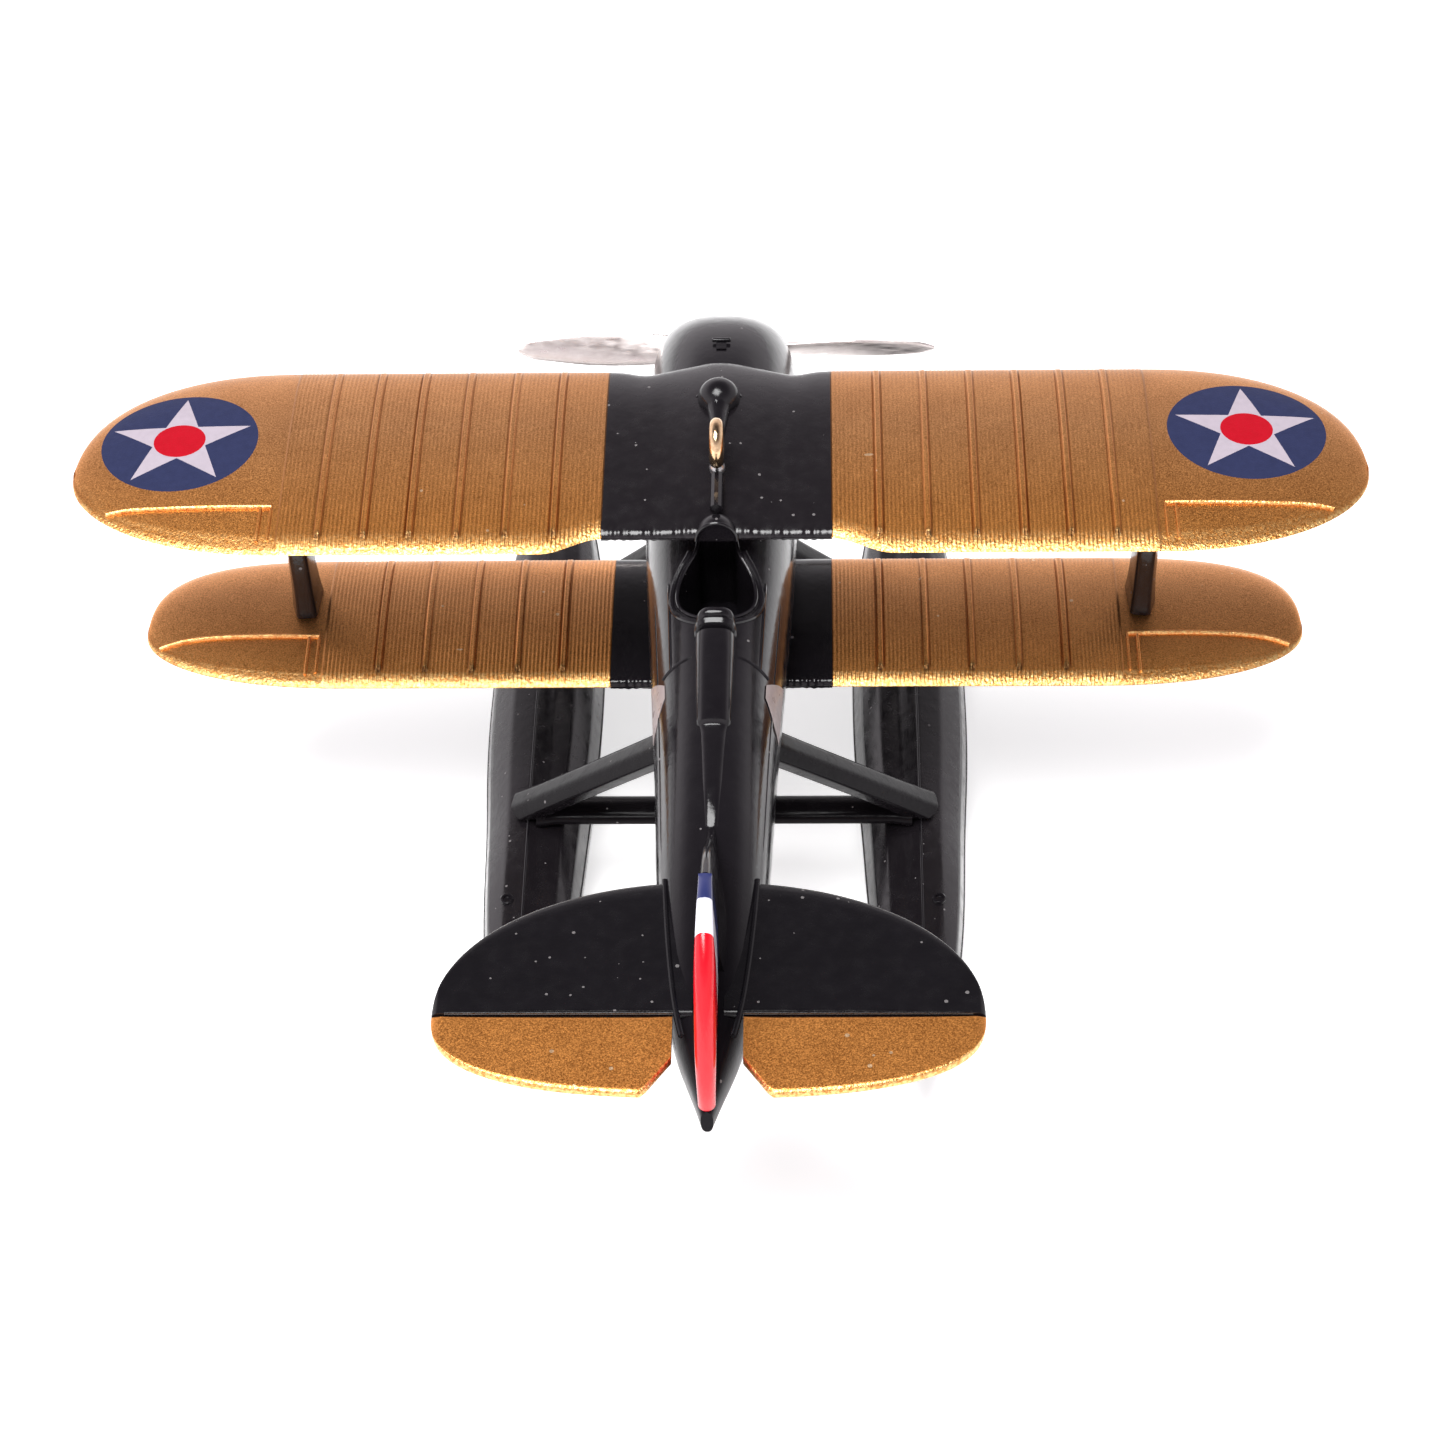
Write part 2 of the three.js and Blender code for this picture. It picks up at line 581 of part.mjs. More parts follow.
pair((side) => `elevator_${side}`, elevator(), GOLD);
place("fin", fin(), BLACK);
place("rudder", rudder(), STRIPED);
pair((side) => `float_hull_${side}`, floatHull(), BLACK);
pair((side) => `float_deck_${side}`, floatDeckShell(), BLACK);
pair((side) => `float_plug_${side}`, plugSpace(0), BLACK);
pair((side) => `float_strut_rear_${side}`, floatStrut(REAR_STRUT), BLACK);
pair((side) => `float_strut_front_${side}`, floatStrut(FRONT_STRUT), BLACK);
place("spreader_bar_rear", spreaderBar(REAR_STRUT.foot[1] - 0.5), BLACK);
place("spreader_bar_front", spreaderBar(FRONT_STRUT.foot[1] - 0.5), BLACK);
place("propeller", propeller(), SILVER);
place("spinner", spinner(), SILVER);
place("propeller_shaft", propellerShaft(), STEEL);
place("shaft_collar", shaftCollar(), BRASS);

export default model;
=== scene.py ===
"""A small biplane on two floats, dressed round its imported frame.

+X is starboard, +Y the nose and +Z up. Sizes are in millimetres until they reach a mesh.
"""
import math

import bpy
import numpy as np
from mathutils import Matrix, Vector


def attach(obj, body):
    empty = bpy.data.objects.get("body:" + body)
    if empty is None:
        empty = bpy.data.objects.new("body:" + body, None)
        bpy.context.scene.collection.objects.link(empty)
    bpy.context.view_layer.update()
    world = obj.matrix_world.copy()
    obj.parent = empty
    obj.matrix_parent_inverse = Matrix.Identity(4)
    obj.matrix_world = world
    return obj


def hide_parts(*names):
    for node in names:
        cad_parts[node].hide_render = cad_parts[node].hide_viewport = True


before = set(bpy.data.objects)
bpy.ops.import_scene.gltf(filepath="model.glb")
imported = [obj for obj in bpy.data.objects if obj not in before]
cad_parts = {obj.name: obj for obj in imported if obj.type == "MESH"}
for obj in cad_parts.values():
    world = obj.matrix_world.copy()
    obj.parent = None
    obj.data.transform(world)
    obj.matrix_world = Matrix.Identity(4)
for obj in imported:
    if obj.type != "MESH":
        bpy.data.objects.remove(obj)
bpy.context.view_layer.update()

MM = 0.001
SIDES = (("starboard", 1), ("port", -1))

# ---------------------------------------------------------------- sizes, in millimetres

UPPER = dict(tip=56.0, lead=24.0, trail=0.2, base=43.7, crown=1.6, belly=0.5, lead_from=37.5,
             trail_from=38.0, tip_at=10.2, lead_power=2.25, trail_power=2.0)
LOWER = dict(tip=52.3, lead=20.2, trail=3.7, base=24.6, crown=1.25, belly=0.45, lead_from=34.0,
             trail_from=34.0, tip_at=10.6, lead_power=3.0, trail_power=2.1)
CENTRE_HALF = 9.7          # the black centre section ends here
ROOT_HALF = 9.8            # and the black lower roots here
NOTCH_FROM, NOTCH_DEPTH = 15.0, 1.9      # the upper trailing edge runs forward to the centre section
UPPER_RIBS = (13.85, 17.95, 22.05, 26.1, 30.0, 33.9)
LOWER_RIBS = (14.2, 18.3, 22.4, 26.6, 30.8)
PANEL_END = dict(upper=37.3, lower=35.7)      # outboard of this the skin is smooth
UPPER_HINGE = ((38.1, 5.35), (43, 5.4), (48, 5.4), (51.2, 5.3), (52.4, 5.1))     # of the ailerons
LOWER_HINGE = ((36.4, 9.35), (41, 9.45), (46, 9.4), (49.3, 9.0), (50.9, 8.5))
RIDGE_PITCH = 0.36         # fine ridges of the doped panels
RIB_HEIGHT, RIB_HALF = 0.19, 0.27

BODY_AT = (-52.5, -50, -46, -40, -33, -25, -16, -6, 2, 10, 18, 27, 31, 35, 38.5, 41.2)
BODY_HALF = (.45, 1.2, 2.45, 3.55, 4.25, 4.7, 5.1, 5.65, 6.15, 6.6, 6.8, 6.85, 6.9, 6.75, 6.1, 4.7)
BODY_BELLY = (32.2, 31.3, 30.1, 28.6, 27.2, 25.8, 24.7, 23.9, 23.5, 23.4, 23.4, 23.7, 24.2, 25.4,
              27.2, 28.7)
BODY_SPINE = (34.4, 35.2, 36.1, 37, 37.9, 38.9, 39.7, 40.2, 41.2, 42.8, 43, 43.2, 42.8, 41.4, 39,
              36.6)
WIDEST_AT, WIDEST = (-52.5, -30, 0, 27, 41.2), (33.4, 32.6, 32, 32.6, 32.2)
ROUNDNESS = 0.8
BODY_TAIL, COWL_FROM = -52.4, 24.6
VENT_AT = 28.6

PEAR = ((0, 5.4), (1.25, 5.4), (1.6, 3.6), (2.6, 1.4), (3.25, -1.2), (2.83, -2.8), (1.6, -4.0),
        (0, -4.45))
COCKPIT_FLOOR = 33.0
TANK_AT, TANK_RADIUS = (0, 17.9, 45.9), 1.85
RING_AT, RING_RADIUS, RING_WIRE = (0, 9.1, 48.2), 1.55, 0.62

TAIL_HEIGHT, TAIL_THICK, TAIL_TIP = 36.05, 0.9, 21.2
TAIL_LEAD, TAIL_HINGE, TAIL_TRAIL = -30.5, -44.4, -52.2
FIN_EDGE = ((-26, 38.2), (-30, 40.6), (-34, 44.2), (-37.4, 46.9), (-40.5, 48.2))
RUDDER_EDGE = ((-40.7, 48.3), (-44, 48.4), (-47, 47), (-49.6, 44.2), (-51.4, 40.4), (-52.4, 36.2),
               (-52.3, 34.5))

FLOAT_OUT, FLOAT_CHINE = 17.5, 5.4
FLOAT_AT = (-25.5, -20, -12, -4, 3, 12, 22, 32, 41, 48, 51.5, 52.7)
FLOAT_HALF = (.9, 2.6, 3.9, 4.45, 4.75, 5.25, 5.4, 5.1, 4.2, 2.7, 1.3, .6)
FLOAT_KEEL = (6.4, 5.2, 3.3, 1.4, 0, 0, 0, .2, 2, 5, 7.2, 8.2)
FLOAT_DECK = (8.6, 9, 9.5, 9.9, 10.1, 10.2, 10.2, 10.2, 10.2, 10, 9.8, 9.5)

REAR_STRUT = ((17.9, 2.7, 10.4), (2.6, -5.2, 27.0))
FRONT_STRUT = ((17.9, 27.7, 10.4), (3.3, 22.2, 26.3))
WING_STRUT = ((37.9, 14.2, 25.9), (38.1, 13.4, 43.1))

PROP_AT, THRUST = 42.3, 32.0
BLADE_AT = (1.2, 3, 6, 10, 14, 17.4, 19.2, 19.9)
BLADE_CHORD = (1.5, 2.1, 2.8, 3.15, 2.9, 2.15, 1.3, .4)
BLADE_DEPTH = (1.5, 1.1, .75, .6, .5, .42, .36, .3)
BLADE_PITCH = (48, 42, 34, 27, 22, 19, 18, 17)

# ---------------------------------------------------------------- camera, light and floor

LOOK_AT = Vector((0.38, -6.411, 30.0))
LOOK_TURN, LOOK_DOWN, LOOK_ROLL, LOOK_FROM = 2.069, 44.849, -1.66, 284.393
FIELD_OF_VIEW = 24.5955


def set_camera():
    turn, down, roll = (math.radians(a) for a in (LOOK_TURN, LOOK_DOWN, LOOK_ROLL))
    back = Vector((math.sin(turn) * math.cos(down), -math.cos(turn) * math.cos(down), math.sin(down)))
    right = Vector((math.cos(turn), math.sin(turn), 0))
    up = back.cross(right)
    across = right * math.cos(roll) + up * math.sin(roll)
    upward = up * math.cos(roll) - right * math.sin(roll)
    place = (LOOK_AT + back * LOOK_FROM) * MM
    lens = bpy.data.cameras.new("studio_camera")
    lens.sensor_width = 36
    lens.angle = math.radians(FIELD_OF_VIEW)
    lens.clip_start, lens.clip_end = 0.01, 20
    camera = bpy.data.objects.new("studio_camera", lens)
    axes = Matrix((across, upward, back)).transposed()
    camera.matrix_world = Matrix([[*row, p] for row, p in zip(axes, place)] + [[0, 0, 0, 1]])
    bpy.context.scene.collection.objects.link(camera)
    bpy.context.scene.camera = camera


def soft_box(name, place, aim, size, power):
    """A square lamp with an even glow, at place and facing aim."""
    lamp = bpy.data.lights.new(name, "AREA")
    lamp.shape, lamp.size, lamp.energy = "SQUARE", size, power
    holder = bpy.data.objects.new(name, lamp)
    holder.location = place
    holder.rotation_euler = (Vector(aim) - Vector(place)).to_track_quat("-Z", "Y").to_euler()
    bpy.context.scene.collection.objects.link(holder)


def set_studio():
    """White walls that darken overhead, one soft lamp above and a pale floor."""
    bpy.context.scene.view_settings.view_transform = "Standard"
    world = bpy.data.worlds.new("studio")
    bpy.context.scene.world = world
    world.use_nodes = True
    tree = world.node_tree
    where = tree.nodes.new("ShaderNodeTexCoord")
    parts = tree.nodes.new("ShaderNodeSeparateXYZ")
    ramp = tree.nodes.new("ShaderNodeValToRGB")
    tree.links.new(where.outputs["Generated"], parts.inputs[0])
    tree.links.new(parts.outputs["Z"], ramp.inputs["Fac"])
    stops = ramp.color_ramp.elements
    stops[0].position, stops[0].color = 0.34, (1.0, 0.94, 0.98, 1)
    stops[1].position, stops[1].color = 0.90, (0.060, 0.054, 0.060, 1)
    for place, tone in ((0.50, 0.66), (0.68, 0.24)):
        stops.new(place).color = (tone, tone * 0.92, tone * 0.98, 1)
    feed(tree.nodes["Background"], "Color", ramp.outputs["Color"])
    feed(tree.nodes["Background"], "Strength", span(tree, parts.outputs["X"], -0.9, 0.9, 1.45, 0.90))
    soft_box("overhead_lamp", (-0.10, -0.16, 0.62), (0, 0, 0.03), 0.36, 6.2)
    fresh()
    bpy.ops.mesh.primitive_plane_add(size=6)
    floor = named("studio_floor")
    white = bpy.data.materials.new("floor_white")
    white.use_nodes = True
    shader = white.node_tree.nodes["Principled BSDF"]
    shader.inputs["Base Color"].default_value = (0.86, 0.86, 0.86, 1)
    shader.inputs["Roughness"].default_value = 0.7
    shader.inputs["Specular IOR Level"].default_value = 0.1
    shader.inputs["Emission Color"].default_value = (1, 1, 1, 1)
    shader.inputs["Emission Strength"].default_value = 0.62
    floor.data.materials.append(white)


# ---------------------------------------------------------------- benches: how pieces are made

WELD = 0.001            # corners closer than this become one


def fresh():
    bpy.ops.object.select_all(action="DESELECT")


def named(name):
    piece = bpy.context.object
    piece.name = piece.data.name = name
    return piece


def picked(piece):
    fresh()
    piece.select_set(True)
    bpy.context.view_layer.objects.active = piece


def open_mesh():
    """Into edit mode, with everything picked."""
    bpy.ops.object.mode_set(mode="EDIT")
    bpy.ops.mesh.select_all(action="SELECT")


def close_mesh():
    bpy.ops.object.mode_set(mode="OBJECT")


def settle(piece, smooth=35):
    """Its place goes into its mesh, its faces point outwards and its round sides are smooth."""
    picked(piece)
    bpy.ops.object.transform_apply(location=True, rotation=True, scale=True)
    open_mesh()
    bpy.ops.mesh.remove_doubles(threshold=WELD * MM)
    bpy.ops.mesh.normals_make_consistent(inside=False)
    close_mesh()
    bpy.ops.object.shade_smooth_by_angle(angle=math.radians(smooth))
    return piece


def close_ends(piece):
    """Fills the open ends of a tube."""
    picked(piece)
    open_mesh()
    bpy.ops.mesh.remove_doubles(threshold=WELD * MM)
    bpy.ops.mesh.select_all(action="DESELECT")
    bpy.ops.mesh.select_mode(type="EDGE")
    bpy.ops.mesh.select_non_manifold(extend=False, use_wire=False, use_multi_face=False,
                                     use_non_contiguous=False, use_verts=False)
    bpy.ops.mesh.fill_holes(sides=0)
    bpy.ops.mesh.select_mode(type="VERT")
    close_mesh()


def rolled_grid(name, across, along, place, smooth=35):
    """A flat grid rolled into a closed skin: its corner (u, v) goes to place(u, v), u and v from 0 to 1.

    If place gives a fourth value, it is kept on the corners as painted_shade: painted shade that darkens
    the gold coat.
    """
    fresh()
    bpy.ops.mesh.primitive_grid_add(x_subdivisions=across, y_subdivisions=along, size=2)
    piece = named(name)
    flat = np.empty(len(piece.data.vertices) * 3)
    piece.data.vertices.foreach_get("co", flat)
    u, v = (flat.reshape(-1, 3)[:, 0] + 1) / 2, (flat.reshape(-1, 3)[:, 1] + 1) / 2
    x, y, z, *painted_shade = place(u, v)
    piece.data.vertices.foreach_set("co", (np.stack([x, y, z], 1) * MM).ravel())
    if painted_shade:
        piece.data.attributes.new("painted_shade", "FLOAT", "POINT").data.foreach_set("value", painted_shade[0])
    piece.data.update()
    close_ends(piece)
    return settle(piece, smooth)


def stations(rings):
    """Joins rings of points, one per station, for rolled_grid: each ring goes on round to its start."""
    rings = np.array([list(r) + [r[0]] for r in rings], float)
    last_ring, last_point = rings.shape[0] - 1, rings.shape[1] - 1

    def place(u, v):
        i = np.rint(u * last_ring).astype(int)
        j = np.rint(v * last_point).astype(int)
        return rings[i, j, 0], rings[i, j, 1], rings[i, j, 2]
    return last_ring, last_point, place


def round_turn(steps):
    return np.linspace(0, 2 * math.pi, steps, endpoint=False)


def through_rings(name, rings, smooth=35):
    return rolled_grid(name, *stations(rings), smooth)


def smooth_line(at, values):
    """A natural cubic line through the values."""
    at, values = np.array(at, float), np.array(values, float)
    step = np.diff(at)
    size = len(at)
    rows, bend = np.eye(size), np.zeros(size)
    for i in range(1, size - 1):
        rows[i, i - 1], rows[i, i], rows[i, i + 1] = step[i - 1], 2 * (step[i - 1] + step[i]), step[i]
        bend[i] = 6 * ((values[i + 1] - values[i]) / step[i] - (values[i] - values[i - 1]) / step[i - 1])
    curve = np.linalg.solve(rows, bend)

    def read(t):
        t = np.clip(t, at[0], at[-1])
        i = np.clip(np.searchsorted(at, t) - 1, 0, size - 2)
        a, b, h = at[i + 1] - t, t - at[i], step[i]
        return (curve[i] * a ** 3 + curve[i + 1] * b ** 3) / (6 * h) \
            + (values[i] / h - curve[i] * h / 6) * a + (values[i + 1] / h - curve[i + 1] * h / 6) * b
    return read


def along_path(points, count):
    """Evenly spread points on a smooth path through the given ones."""
    points = np.array(points, float)
    gone = np.concatenate([[0], np.cumsum(np.linalg.norm(np.diff(points, axis=0), axis=1))])
    t = np.linspace(0, gone[-1], count)
    return np.stack([smooth_line(gone, points[:, k])(t) for k in range(points.shape[1])], 1)


def ease(t):
    t = np.clip(t, 0, 1)
    return t * t * (3 - 2 * t)


def bead(name, path, radius, closed=False, turns=3):
    """A round bead laid along a path."""
    wire = bpy.data.curves.new(name, "CURVE")
    wire.dimensions, wire.bevel_depth, wire.bevel_resolution = "3D", radius * MM, turns
    wire.use_fill_caps = True
    line = wire.splines.new("POLY")
    line.points.add(len(path) - 1)
    for point, co in zip(line.points, path):
        point.co = (co[0] * MM, co[1] * MM, co[2] * MM, 1)
    line.use_cyclic_u = closed
    piece = bpy.data.objects.new(name, wire)
    bpy.context.scene.collection.objects.link(piece)
    picked(piece)
    bpy.ops.object.convert(target="MESH")
    return settle(named(name))


def own_copy(piece, name, turn):
    """The same piece, turned or mirrored, with its own mesh."""
    other = piece.copy()
    other.data = piece.data.copy()
    other.name = other.data.name = name
    bpy.context.scene.collection.objects.link(other)
    other.data.transform(turn)
    return other


def twin(piece, name):
    """The same piece for the port side."""
    other = own_copy(piece, name, Matrix.Scale(-1, 4, (1, 0, 0)))
    other.data.flip_normals()
    return other


def fitted(piece, finish, *nodes, body="airframe"):
    """Gives the piece its finish, sets it on its body and lets it stand for its CAD nodes."""
    if finish.name not in [m.name for m in piece.data.materials if m]:
        piece.data.materials.clear()
        piece.data.materials.append(finish)
    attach(piece, body)
    if nodes:
        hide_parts(*nodes)
    return piece


def pair(starboard, stem):
    """The piece and its twin, each with the name of its side."""
    return (starboard, "starboard"), (twin(starboard, stem + "port"), "port")


def both_sides(starboard, stem, finish, *nodes):
    """Fits the starboard piece and its twin; stem and each node are names that the side's name ends."""
    for piece, side in pair(starboard, stem):
        fitted(piece, finish, *(node + side for node in nodes))


def turned(name, profile, centre, steps=64, smooth=35):
    """A piece turned on the lathe about the line of flight: profile holds (distance along Y, radius)."""
    rings = [[(centre[0] + r * math.cos(a), centre[1] + y, centre[2] + r * math.sin(a))
              for a in round_turn(steps)] for y, r in profile]
    return through_rings(name, rings, smooth)


def turned_up(name, profile, centre, steps=48):
    """A piece turned about a vertical line: profile holds (height, radius)."""
    rings = [[(centre[0] + r * math.cos(a), centre[1] + r * math.sin(a), centre[2] + z)
              for a in round_turn(steps)] for z, r in profile]
    return through_rings(name, rings)


def bevelled_block(name, middle, size, bevel, cuts=3):
    fresh()
    bpy.ops.mesh.primitive_cube_add(size=1, location=[m * MM for m in middle])
    piece = named(name)
    piece.scale = [s * MM for s in size]
    bpy.ops.object.transform_apply(location=True, rotation=True, scale=True)
    open_mesh()
    bpy.ops.mesh.bevel(offset=bevel * MM, segments=cuts, profile=0.5)
    close_mesh()
    return piece


# ---------------------------------------------------------------- finishes

DUST = (0.32, 0.30, 0.30)
GOLD_DARK, GOLD_BRIGHT = (0.40, 0.165, 0.054), (0.82, 0.405, 0.165)
# The first of these is a painted highlight for the gold's aft slopes and the last a warm tint that is
# painted light; CHIP is the colour of worn chips.
PAINTED_HIGHLIGHT, CHIP, WARM = (0.92, 0.60, 0.24), (1.0, 0.80, 0.52), (1.0, 0.86, 0.52)
STAR_TIP, ROUND_EDGE, ROUND_HEART = 6.0, 6.5, 2.15
ROUND_SQUASH = (0.945, 1.055)      # the badge is a little wider than it is long
STAR_CENTRES = {"starboard": (45.8, 14.3), "port": (-47.0, 13.55)}
BLUE_BAND_END, WHITE_BAND_END = -43.3, -46.0       # on the rudder


def make_finish(name, colour, roughness, metallic=0.0):
    """A paint to build on: its tree, its shader and the object's own coordinates."""
    finish = bpy.data.materials.new(name)
    finish.use_nodes = True
    tree = finish.node_tree
    shader = tree.nodes["Principled BSDF"]
    shader.inputs["Base Color"].default_value = (*colour, 1)
    shader.inputs["Roughness"].default_value = roughness
    shader.inputs["Metallic"].default_value = metallic
    where = tree.nodes.new("ShaderNodeTexCoord").outputs["Object"]
    return finish, tree, shader, where


def feed(shader, name, socket):
    shader.id_data.links.new(socket, shader.inputs[name])


def add(tree, kind, inputs=(), **settings):
    made = tree.nodes.new(kind)
    for key, value in settings.items():
        setattr(made, key, value)
    for key, value in dict(inputs).items():
        if isinstance(value, bpy.types.NodeSocket):
            tree.links.new(value, made.inputs[key])
        else:
            made.inputs[key].default_value = value
    return made


def maths(tree, operation, *values):
    return add(tree, "ShaderNodeMath", dict(enumerate(values)), operation=operation).outputs[0]


def times(tree, a, b):
    return maths(tree, "MULTIPLY", a, b)


def plus(tree, a, b):
    return maths(tree, "ADD", a, b)


def below(tree, value, limit):
    return maths(tree, "LESS_THAN", value, limit)


def above(tree, value, limit):
    return maths(tree, "GREATER_THAN", value, limit)


def part_of(tree, vector, axis):
    return add(tree, "ShaderNodeSeparateXYZ", {0: vector}).outputs[axis]


def moved(tree, where, **how):
    return add(tree, "ShaderNodeMapping", {"Vector": where, **how}).outputs[0]


def noise(tree, where, per_mm, detail=3.0, stretch=None):
    if stretch:
        where = moved(tree, where, Scale=stretch)
    cloud = {"Vector": where, "Scale": per_mm / MM, "Detail": detail}
    return add(tree, "ShaderNodeTexNoise", cloud).outputs["Fac"]


def specks(tree, where, apart, radius, share, stretch=None):
    """1 on sparse grains about apart millimetres from each other, 0 between them."""
    if stretch:
        where = moved(tree, where, Scale=stretch, Rotation=(0.3, 0.2, 0.5))
    cells = add(tree, "ShaderNodeTexVoronoi", {"Vector": where, "Scale": 1 / MM / apart}).outputs
    chance = add(tree, "ShaderNodeSeparateColor", {"Color": cells["Color"]}).outputs
    near = below(tree, cells["Distance"], times(tree, chance["Green"], radius / apart))
    return times(tree, near, below(tree, chance["Red"], share))


def between(tree, share, low, high, blend="MIX"):
    """A colour from low to high as share goes from 0 to 1."""
    made = add(tree, "ShaderNodeMix", {0: share}, data_type="RGBA", blend_type=blend)
    for socket, value in zip((made.inputs[6], made.inputs[7]), (low, high)):
        if isinstance(value, bpy.types.NodeSocket):
            tree.links.new(value, socket)
        else:
            socket.default_value = (*value, 1)
    return made.outputs[2]


def span(tree, value, low, high, to_low, to_high):
    return add(tree, "ShaderNodeMapRange", {"Value": value, "From Min": low, "From Max": high,
                                            "To Min": to_low, "To Max": to_high}).outputs["Result"]


def bumped(tree, shader, height, depth, strength=0.5, under=None):
    inputs = {"Height": height, "Distance": depth * MM, "Strength": strength}
    if under:
        inputs["Normal"] = under
    made = add(tree, "ShaderNodeBump", inputs)
    feed(shader, "Normal", made.outputs[0])
    return made.outputs[0]


def tinted(colour, share):
    return [c * share for c in colour]


def lacquer(name, colour, roughness, dust=0.12, shine=0.5):
    """Glossy paint, a little uneven, with dust and hairline marks."""
    finish, tree, shader, where = make_finish(name, colour, roughness)
    shader.inputs["Specular IOR Level"].default_value = shine
    marks = maths(tree, "MAXIMUM", specks(tree, where, 0.9, 0.16, dust),
                  specks(tree, where, 2.2, 0.17, dust * 0.5, stretch=(1, 0.3, 1)))
    tint = between(tree, noise(tree, where, 0.35), tinted(colour, 0.8), tinted(colour, 1.25))
    feed(shader, "Base Color", between(tree, times(tree, marks, 0.40), tint, DUST))
    matt = span(tree, noise(tree, where, 0.8), 0.35, 0.7, roughness * 0.75, roughness * 1.5)
    feed(shader, "Roughness", plus(tree, matt, times(tree, marks, 0.35)))
    peel = bumped(tree, shader, noise(tree, where, 1.1, 2), 0.05, 0.30)
    bumped(tree, shader, plus(tree, noise(tree, where, 4.0, 2), marks), 0.02, 0.35, peel)
    return finish, tree, shader, where


def body_coat(name, colour):
    """The body's lacquer, which is duller towards the tail."""
    finish, tree, shader, where = lacquer(name, colour, 0.15)
    aft = part_of(tree, where, "Y")
    feed(shader, "Specular IOR Level", span(tree, aft, -24 * MM, -42 * MM, 0.36, 0.04))
    return finish


def gold_coat(name, light=1.0, worn=0.12):
    """Bronze-gold metal paint: fine flake and bright chips, painted shade in the hollows, grit and a
    painted highlight on what slopes aft, and a warmer tone aft that is painted light.
    """
    dark, bright = tinted(GOLD_DARK, light), tinted(GOLD_BRIGHT, light)
    finish, tree, shader, where = make_finish(name, bright, 0.36, 0.92)
    flake = noise(tree, where, 8.0, 2)
    mix = plus(tree, times(tree, flake, 0.85), times(tree, noise(tree, where, 0.25), 0.18))
    chips = maths(tree, "MAXIMUM", specks(tree, where, 1.5, 0.20, worn),
                  specks(tree, where, 2.6, 0.24, worn, stretch=(0.35, 1, 1)))
    tint = between(tree, span(tree, mix, 0.30, 0.72, 0, 1), dark, bright)
    # Painted light: the gold is made warmer and deeper towards the trailing edge, standing in for the white
    # reflection that fades there.
    aft = span(tree, part_of(tree, where, "Y"), 15 * MM, 3 * MM, 0, 1)
    warmed = between(tree, aft, tint, WARM, "MULTIPLY")
    # Painted highlight: faces that slope aft are lightened towards a bright gold, broken into grains,
    # standing in for the lamp's glare on the rolled trailing edge.
    facing = add(tree, "ShaderNodeNewGeometry").outputs["Normal"]
    slope = span(tree, part_of(tree, facing, "Y"), -0.12, -0.36, 0.0, 1.0)
    grains = span(tree, noise(tree, where, 3.6, 3), 0.38, 0.60, 0.0, 1.0)
    highlit = between(tree, times(tree, slope, grains), warmed, PAINTED_HIGHLIGHT)
    chipped = between(tree, times(tree, chips, 0.6), highlit, CHIP)
    # Painted shade: where painted_shade is set, the gold goes down to a fifth of its dark tone.
    painted_shade = add(tree, "ShaderNodeAttribute", attribute_name="painted_shade").outputs["Fac"]
    feed(shader, "Base Color", between(tree, painted_shade, chipped, tinted(dark, 0.22)))
    feed(shader, "Roughness", span(tree, flake, 0.3, 0.7, 0.28, 0.44))
    grit = times(tree, noise(tree, where, 4.2, 3), plus(tree, slope, 0.12))
    rough = bumped(tree, shader, grit, 0.13, 0.6)
    fine = bumped(tree, shader, flake, 0.035, 0.55, rough)
    bumped(tree, shader, chips, 0.08, 0.7, fine)
    return finish, tree, shader, where


def star_coat(name, centre):
    """The gold coat with a badge on the upper surface: a white star on a blue round, its middle red."""
    finish, tree, shader, where = gold_coat(name)
    under = shader.inputs["Base Color"].links[0].from_socket
    matt = shader.inputs["Roughness"].links[0].from_socket
    x, y = (-c * squash * MM for c, squash in zip(centre, ROUND_SQUASH))
    local = moved(tree, where, Scale=(*ROUND_SQUASH, 1), Location=(x, y, 0))
    flat = add(tree, "ShaderNodeCombineXYZ", {"X": part_of(tree, local, "X"),
                                              "Y": part_of(tree, local, "Y")}).outputs[0]
    away = add(tree, "ShaderNodeVectorMath", {0: flat}, operation="LENGTH").outputs["Value"]
    inside = 0.0
    for k in range(5):
        a = math.radians(90 + 72 * k)
        reach = add(tree, "ShaderNodeVectorMath", {0: flat, 1: (math.cos(a), math.sin(a), 0)},
                    operation="DOT_PRODUCT").outputs["Value"]
        inside = plus(tree, inside, below(tree, reach, STAR_TIP * MM * math.cos(math.radians(72))))
    top = above(tree, part_of(tree, where, "Z"), (UPPER["base"] + 0.05) * MM)
    disc = times(tree, below(tree, away, ROUND_EDGE * MM), top)
    star = times(tree, above(tree, inside, 3.5), disc)
    heart = times(tree, below(tree, away, ROUND_HEART * MM), disc)
    fade = noise(tree, where, 1.5)
    blue = between(tree, fade, (0.018, 0.022, 0.058), (0.026, 0.032, 0.084))
    white = between(tree, fade, (0.34, 0.30, 0.34), (0.42, 0.365, 0.42))
    red = between(tree, fade, (0.34, 0.003, 0.010), (0.42, 0.004, 0.015))
    badge = between(tree, heart, between(tree, star, blue, white), red)
    feed(shader, "Base Color", between(tree, disc, under, badge))
    feed(shader, "Metallic", span(tree, disc, 0, 1, 0.92, 0.0))
    feed(shader, "Specular IOR Level", span(tree, disc, 0, 1, 0.5, 0.08))
    feed(shader, "Roughness", plus(tree, matt, times(tree, disc, 0.12)))
    return finish


